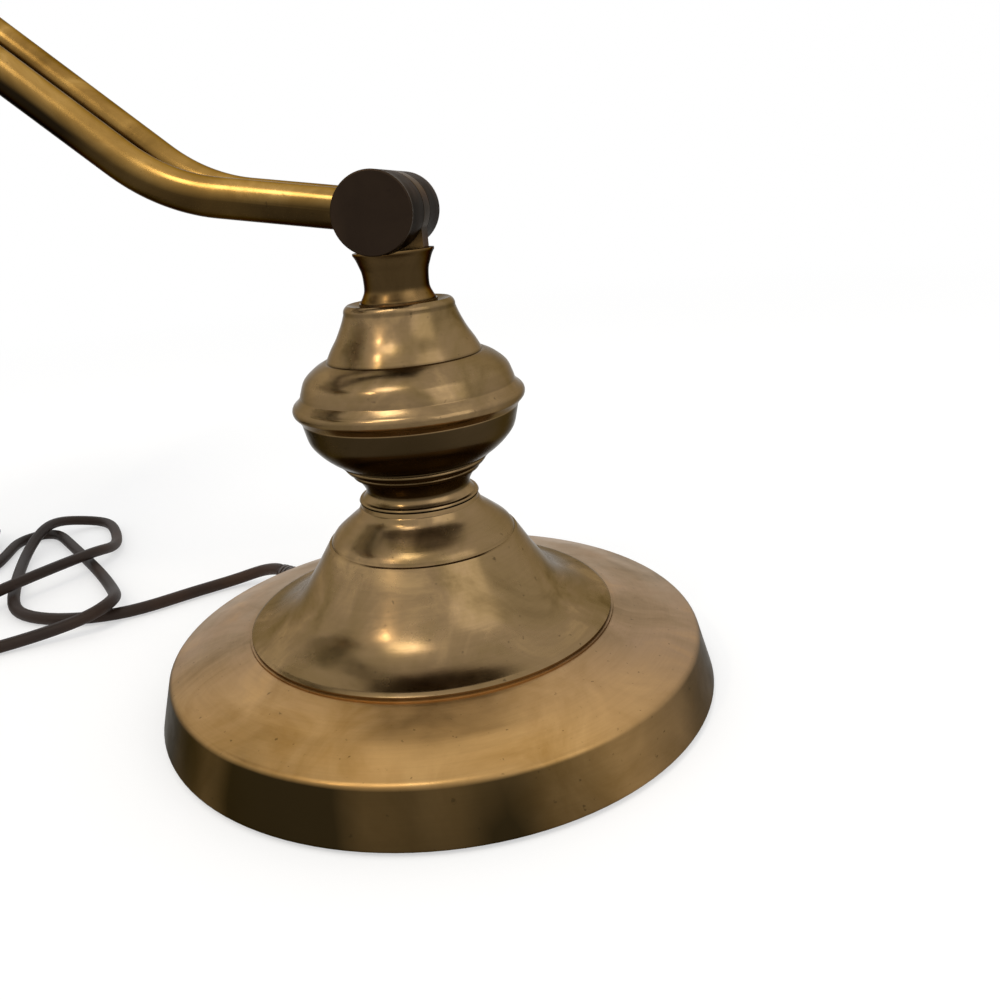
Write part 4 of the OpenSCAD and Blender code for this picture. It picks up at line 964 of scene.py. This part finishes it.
# %% Fire-polished lip and the opal side
bm = bmesh.new()
bm.from_mesh(shade_piece.data)
lip_edges = [e for e in bm.edges if len(e.link_faces) == 2
             and e.calc_face_angle(0) > math.radians(50)]
bmesh.ops.bevel(bm, geom=lip_edges, offset=0.0012, segments=4, profile=0.5, affect="EDGES",
                clamp_overlap=True)
bm.to_mesh(shade_piece.data)
bm.free()
sharpen(shade_piece, 40)
finish_piece(shade_piece, green_glass, ["shade_glass"], "shade")
shade_piece.data.materials.append(opal_lining)
crown = Vector((math.cos(lip_way), 0, math.sin(lip_way)))
for face in shade_piece.data.polygons:
    from_axis = face.center - trough
    flat = Vector((from_axis.x, 0, from_axis.z))
    inside = (math.hypot(flat.x, flat.z) < shade_r - glass_t + 0.0004
              and abs(face.center.y) < half_len - glass_t + 0.0004
              and face.normal.dot(from_axis) < 0
              and from_axis.dot(crown) > lip_high + 0.0009)
    face.material_index = 1 if inside else 0
print("opal faces:", sum(f.material_index for f in shade_piece.data.polygons))

# %% [markdown]
# The strap, the screws, the finials and the strip that carries the socket are brass. The felt
# washers keep the glass off the strap.

# %% Strap, screws and finials
smooth_copy("shade_bracket", bright_brass, bevel=0.0004, under=0.4)
smooth_copy("shade_screws", bright_brass, under=0.3)
smooth_copy("shade_finials", bright_brass, under=0.4)
smooth_copy("socket_bracket", bright_brass, bevel=0.0003, under=0.4)

# %% Socket and bulb
socket_axis = (-0.250387, 0.260871)
for node in ("socket_cap", "socket_shell", "screw_shell", "centre_contact"):
    smooth_copy(node, bright_brass, "y", socket_axis, under=0.4)
smooth_copy("bulb_glass", opal, "y", socket_axis)
smooth_copy("bulb_cap", bulb_metal, "y", socket_axis)
smooth_copy("socket_body", porcelain, "y", socket_axis, bevel=0.0004)

# %% [markdown]
# The switch is a turn knob of dark moulded plastic. Its body is turned, and the rib tree puts
# eighteen ribs round it.

# %% Switch knob
knob_place = Matrix.Translation(Vector((socket_axis[0], -0.058, 0.2269)))
knob_outline = [(0, 0), (0.0046, 0), (0.0056, 0.0006), (0.0060, 0.0016), (0.0060, 0.0104),
                (0.0055, 0.0114), (0.0044, 0.0119), (0.0026, 0.0120), (0.0024, 0.0122),
                (0.0024, 0.0256), (0, 0.0256)]
turn_knob = turned("turn_knob", knob_outline, Matrix.Identity(4), 72)
for v in turn_knob.data.vertices:
    v.co.z -= 0.006
run_tree(turn_knob, rib_ring, {"Ring radius": 0.0059, "Rib radius": 0.00062,
         "Rib length": 0.0094, "Ribs": 18, "Finish": black_plastic})
turn_knob.data.transform(knob_place @ Matrix.Translation((0, 0, 0.006)))
sharpen(turn_knob, 40)
finish_piece(turn_knob, black_plastic, ["switch_knob"], "switch")

# %% [markdown]
# ## Pieces inside
# The weights, the felt, the pipe, the bolts and their washers are hardly seen, and their CAD
# shapes are right. They stay as they are and get their own finishes.

# %% Finishes for the pieces that stay
stay = {"base_weight": cast_iron, "cone_weight": cast_iron, "felt_pad": felt,
        "shade_cushions": cushion_felt, "socket_liner": liner_card}
for node in ("clamp_washer", "clamp_nut", "threaded_rod", "arm_bolt", "arm_bolt_nut",
             "shade_bolt", "shade_bolt_nut", "bracket_screws", "socket_nipple"):
    stay[node] = steel
for node in ("arm_washers", "shade_washers"):
    stay[node] = blued_steel
for node, finish in stay.items():
    slots = frame["nodes"][node].data.materials
    slots.clear()
    slots.append(finish)
print("CAD pieces that stay:", len(stay))

# %% [markdown]
# ## Floor and light
# A pale floor, a wide soft lamp above and a small warm one behind the camera, to the left, that
# gives the brass its points of light. The floor and the world look white to the camera and to
# reflections, and the floor still takes the lamp's shadow.

# %% Floor and world
floor_mesh = bpy.data.meshes.new("floor")
floor_mesh.from_pydata([(-4, -4, -0.0003), (4, -4, -0.0003), (4, 4, -0.0003),
                        (-4, 4, -0.0003)], [], [(0, 1, 2, 3)])
floor = bpy.data.objects.new("floor", floor_mesh)
scene.collection.objects.link(floor)


def looked_at(tree):
    """1 where the camera, a reflection or a refraction looks, 0 for light that only falls."""
    path = tree.nodes.new("ShaderNodeLightPath").outputs
    either = add(tree, "ShaderNodeMath", {0: path["Is Camera Ray"], 1: path["Is Glossy Ray"]},
                 operation="MAXIMUM")
    any_of = add(tree, "ShaderNodeMath", {0: either.outputs[0],
                 1: path["Is Transmission Ray"]}, operation="MAXIMUM")
    return any_of.outputs[0]


floor_finish = bpy.data.materials.new("pale_floor")
floor_finish.use_nodes = True
tree = floor_finish.node_tree
tree.nodes.remove(tree.nodes["Principled BSDF"])
paint = add(tree, "ShaderNodeBsdfDiffuse", {"Color": (0.8, 0.8, 0.8, 1)})
soft_paint = add(tree, "ShaderNodeBsdfDiffuse", {"Color": (0.52, 0.52, 0.52, 1)})
glow = add(tree, "ShaderNodeEmission", {"Strength": 0.50})
near = add(tree, "ShaderNodeAddShader", {0: soft_paint.outputs[0], 1: glow.outputs[0]})
white = add(tree, "ShaderNodeEmission", {"Strength": 1.0})
far = add(tree, "ShaderNodeVectorMath", {0: object_coords(tree)}, operation="LENGTH")
fade = add(tree, "ShaderNodeMixShader", {0: spread(tree, far.outputs["Value"], 0.0, 1.0, 0.4,
           1.2), 1: near.outputs[0], 2: white.outputs[0]})
seen = add(tree, "ShaderNodeMixShader", {0: looked_at(tree), 1: paint.outputs[0],
           2: fade.outputs[0]})
tree.links.new(seen.outputs[0], tree.nodes["Material Output"].inputs["Surface"])
floor_mesh.materials.append(floor_finish)

world = bpy.data.worlds.new("studio")
world.use_nodes = True
scene.world = world
tree = world.node_tree
tree.nodes["Background"].inputs["Strength"].default_value = 0.85
bright = add(tree, "ShaderNodeBackground", {"Color": (1, 1, 1, 1), "Strength": 1.0})
tree.nodes["Background"].inputs["Color"].default_value = (1, 1, 1, 1)
choice = add(tree, "ShaderNodeMixShader", {0: looked_at(tree),
             1: tree.nodes["Background"].outputs[0], 2: bright.outputs[0]})
tree.links.new(choice.outputs[0], tree.nodes["World Output"].inputs["Surface"])


# %% Lamps
def lamp(name, place, aim, size, watts, color=(1, 1, 1)):
    light = bpy.data.lights.new(name, "AREA")
    light.size, light.energy, light.color = size, watts, color
    obj = bpy.data.objects.new(name, light)
    scene.collection.objects.link(obj)
    place = Vector(place)
    obj.matrix_world = Matrix.Translation(place) @ (Vector(aim) - place).to_track_quat(
        "-Z", "Y").to_matrix().to_4x4()
    return obj


lamp("soft_key", (-0.25, -0.55, 1.25), (0, 0, 0.08), 0.4, 3.4, (1.0, 0.95, 0.86))
lamp("soft_fill", (0.9, -0.6, 0.7), (0, 0, 0.08), 0.8, 2)
lamp("warm_point", (-0.56, -0.73, 1.0), (0, 0, 0.08), 0.08, 1.2, (1.0, 0.86, 0.66))
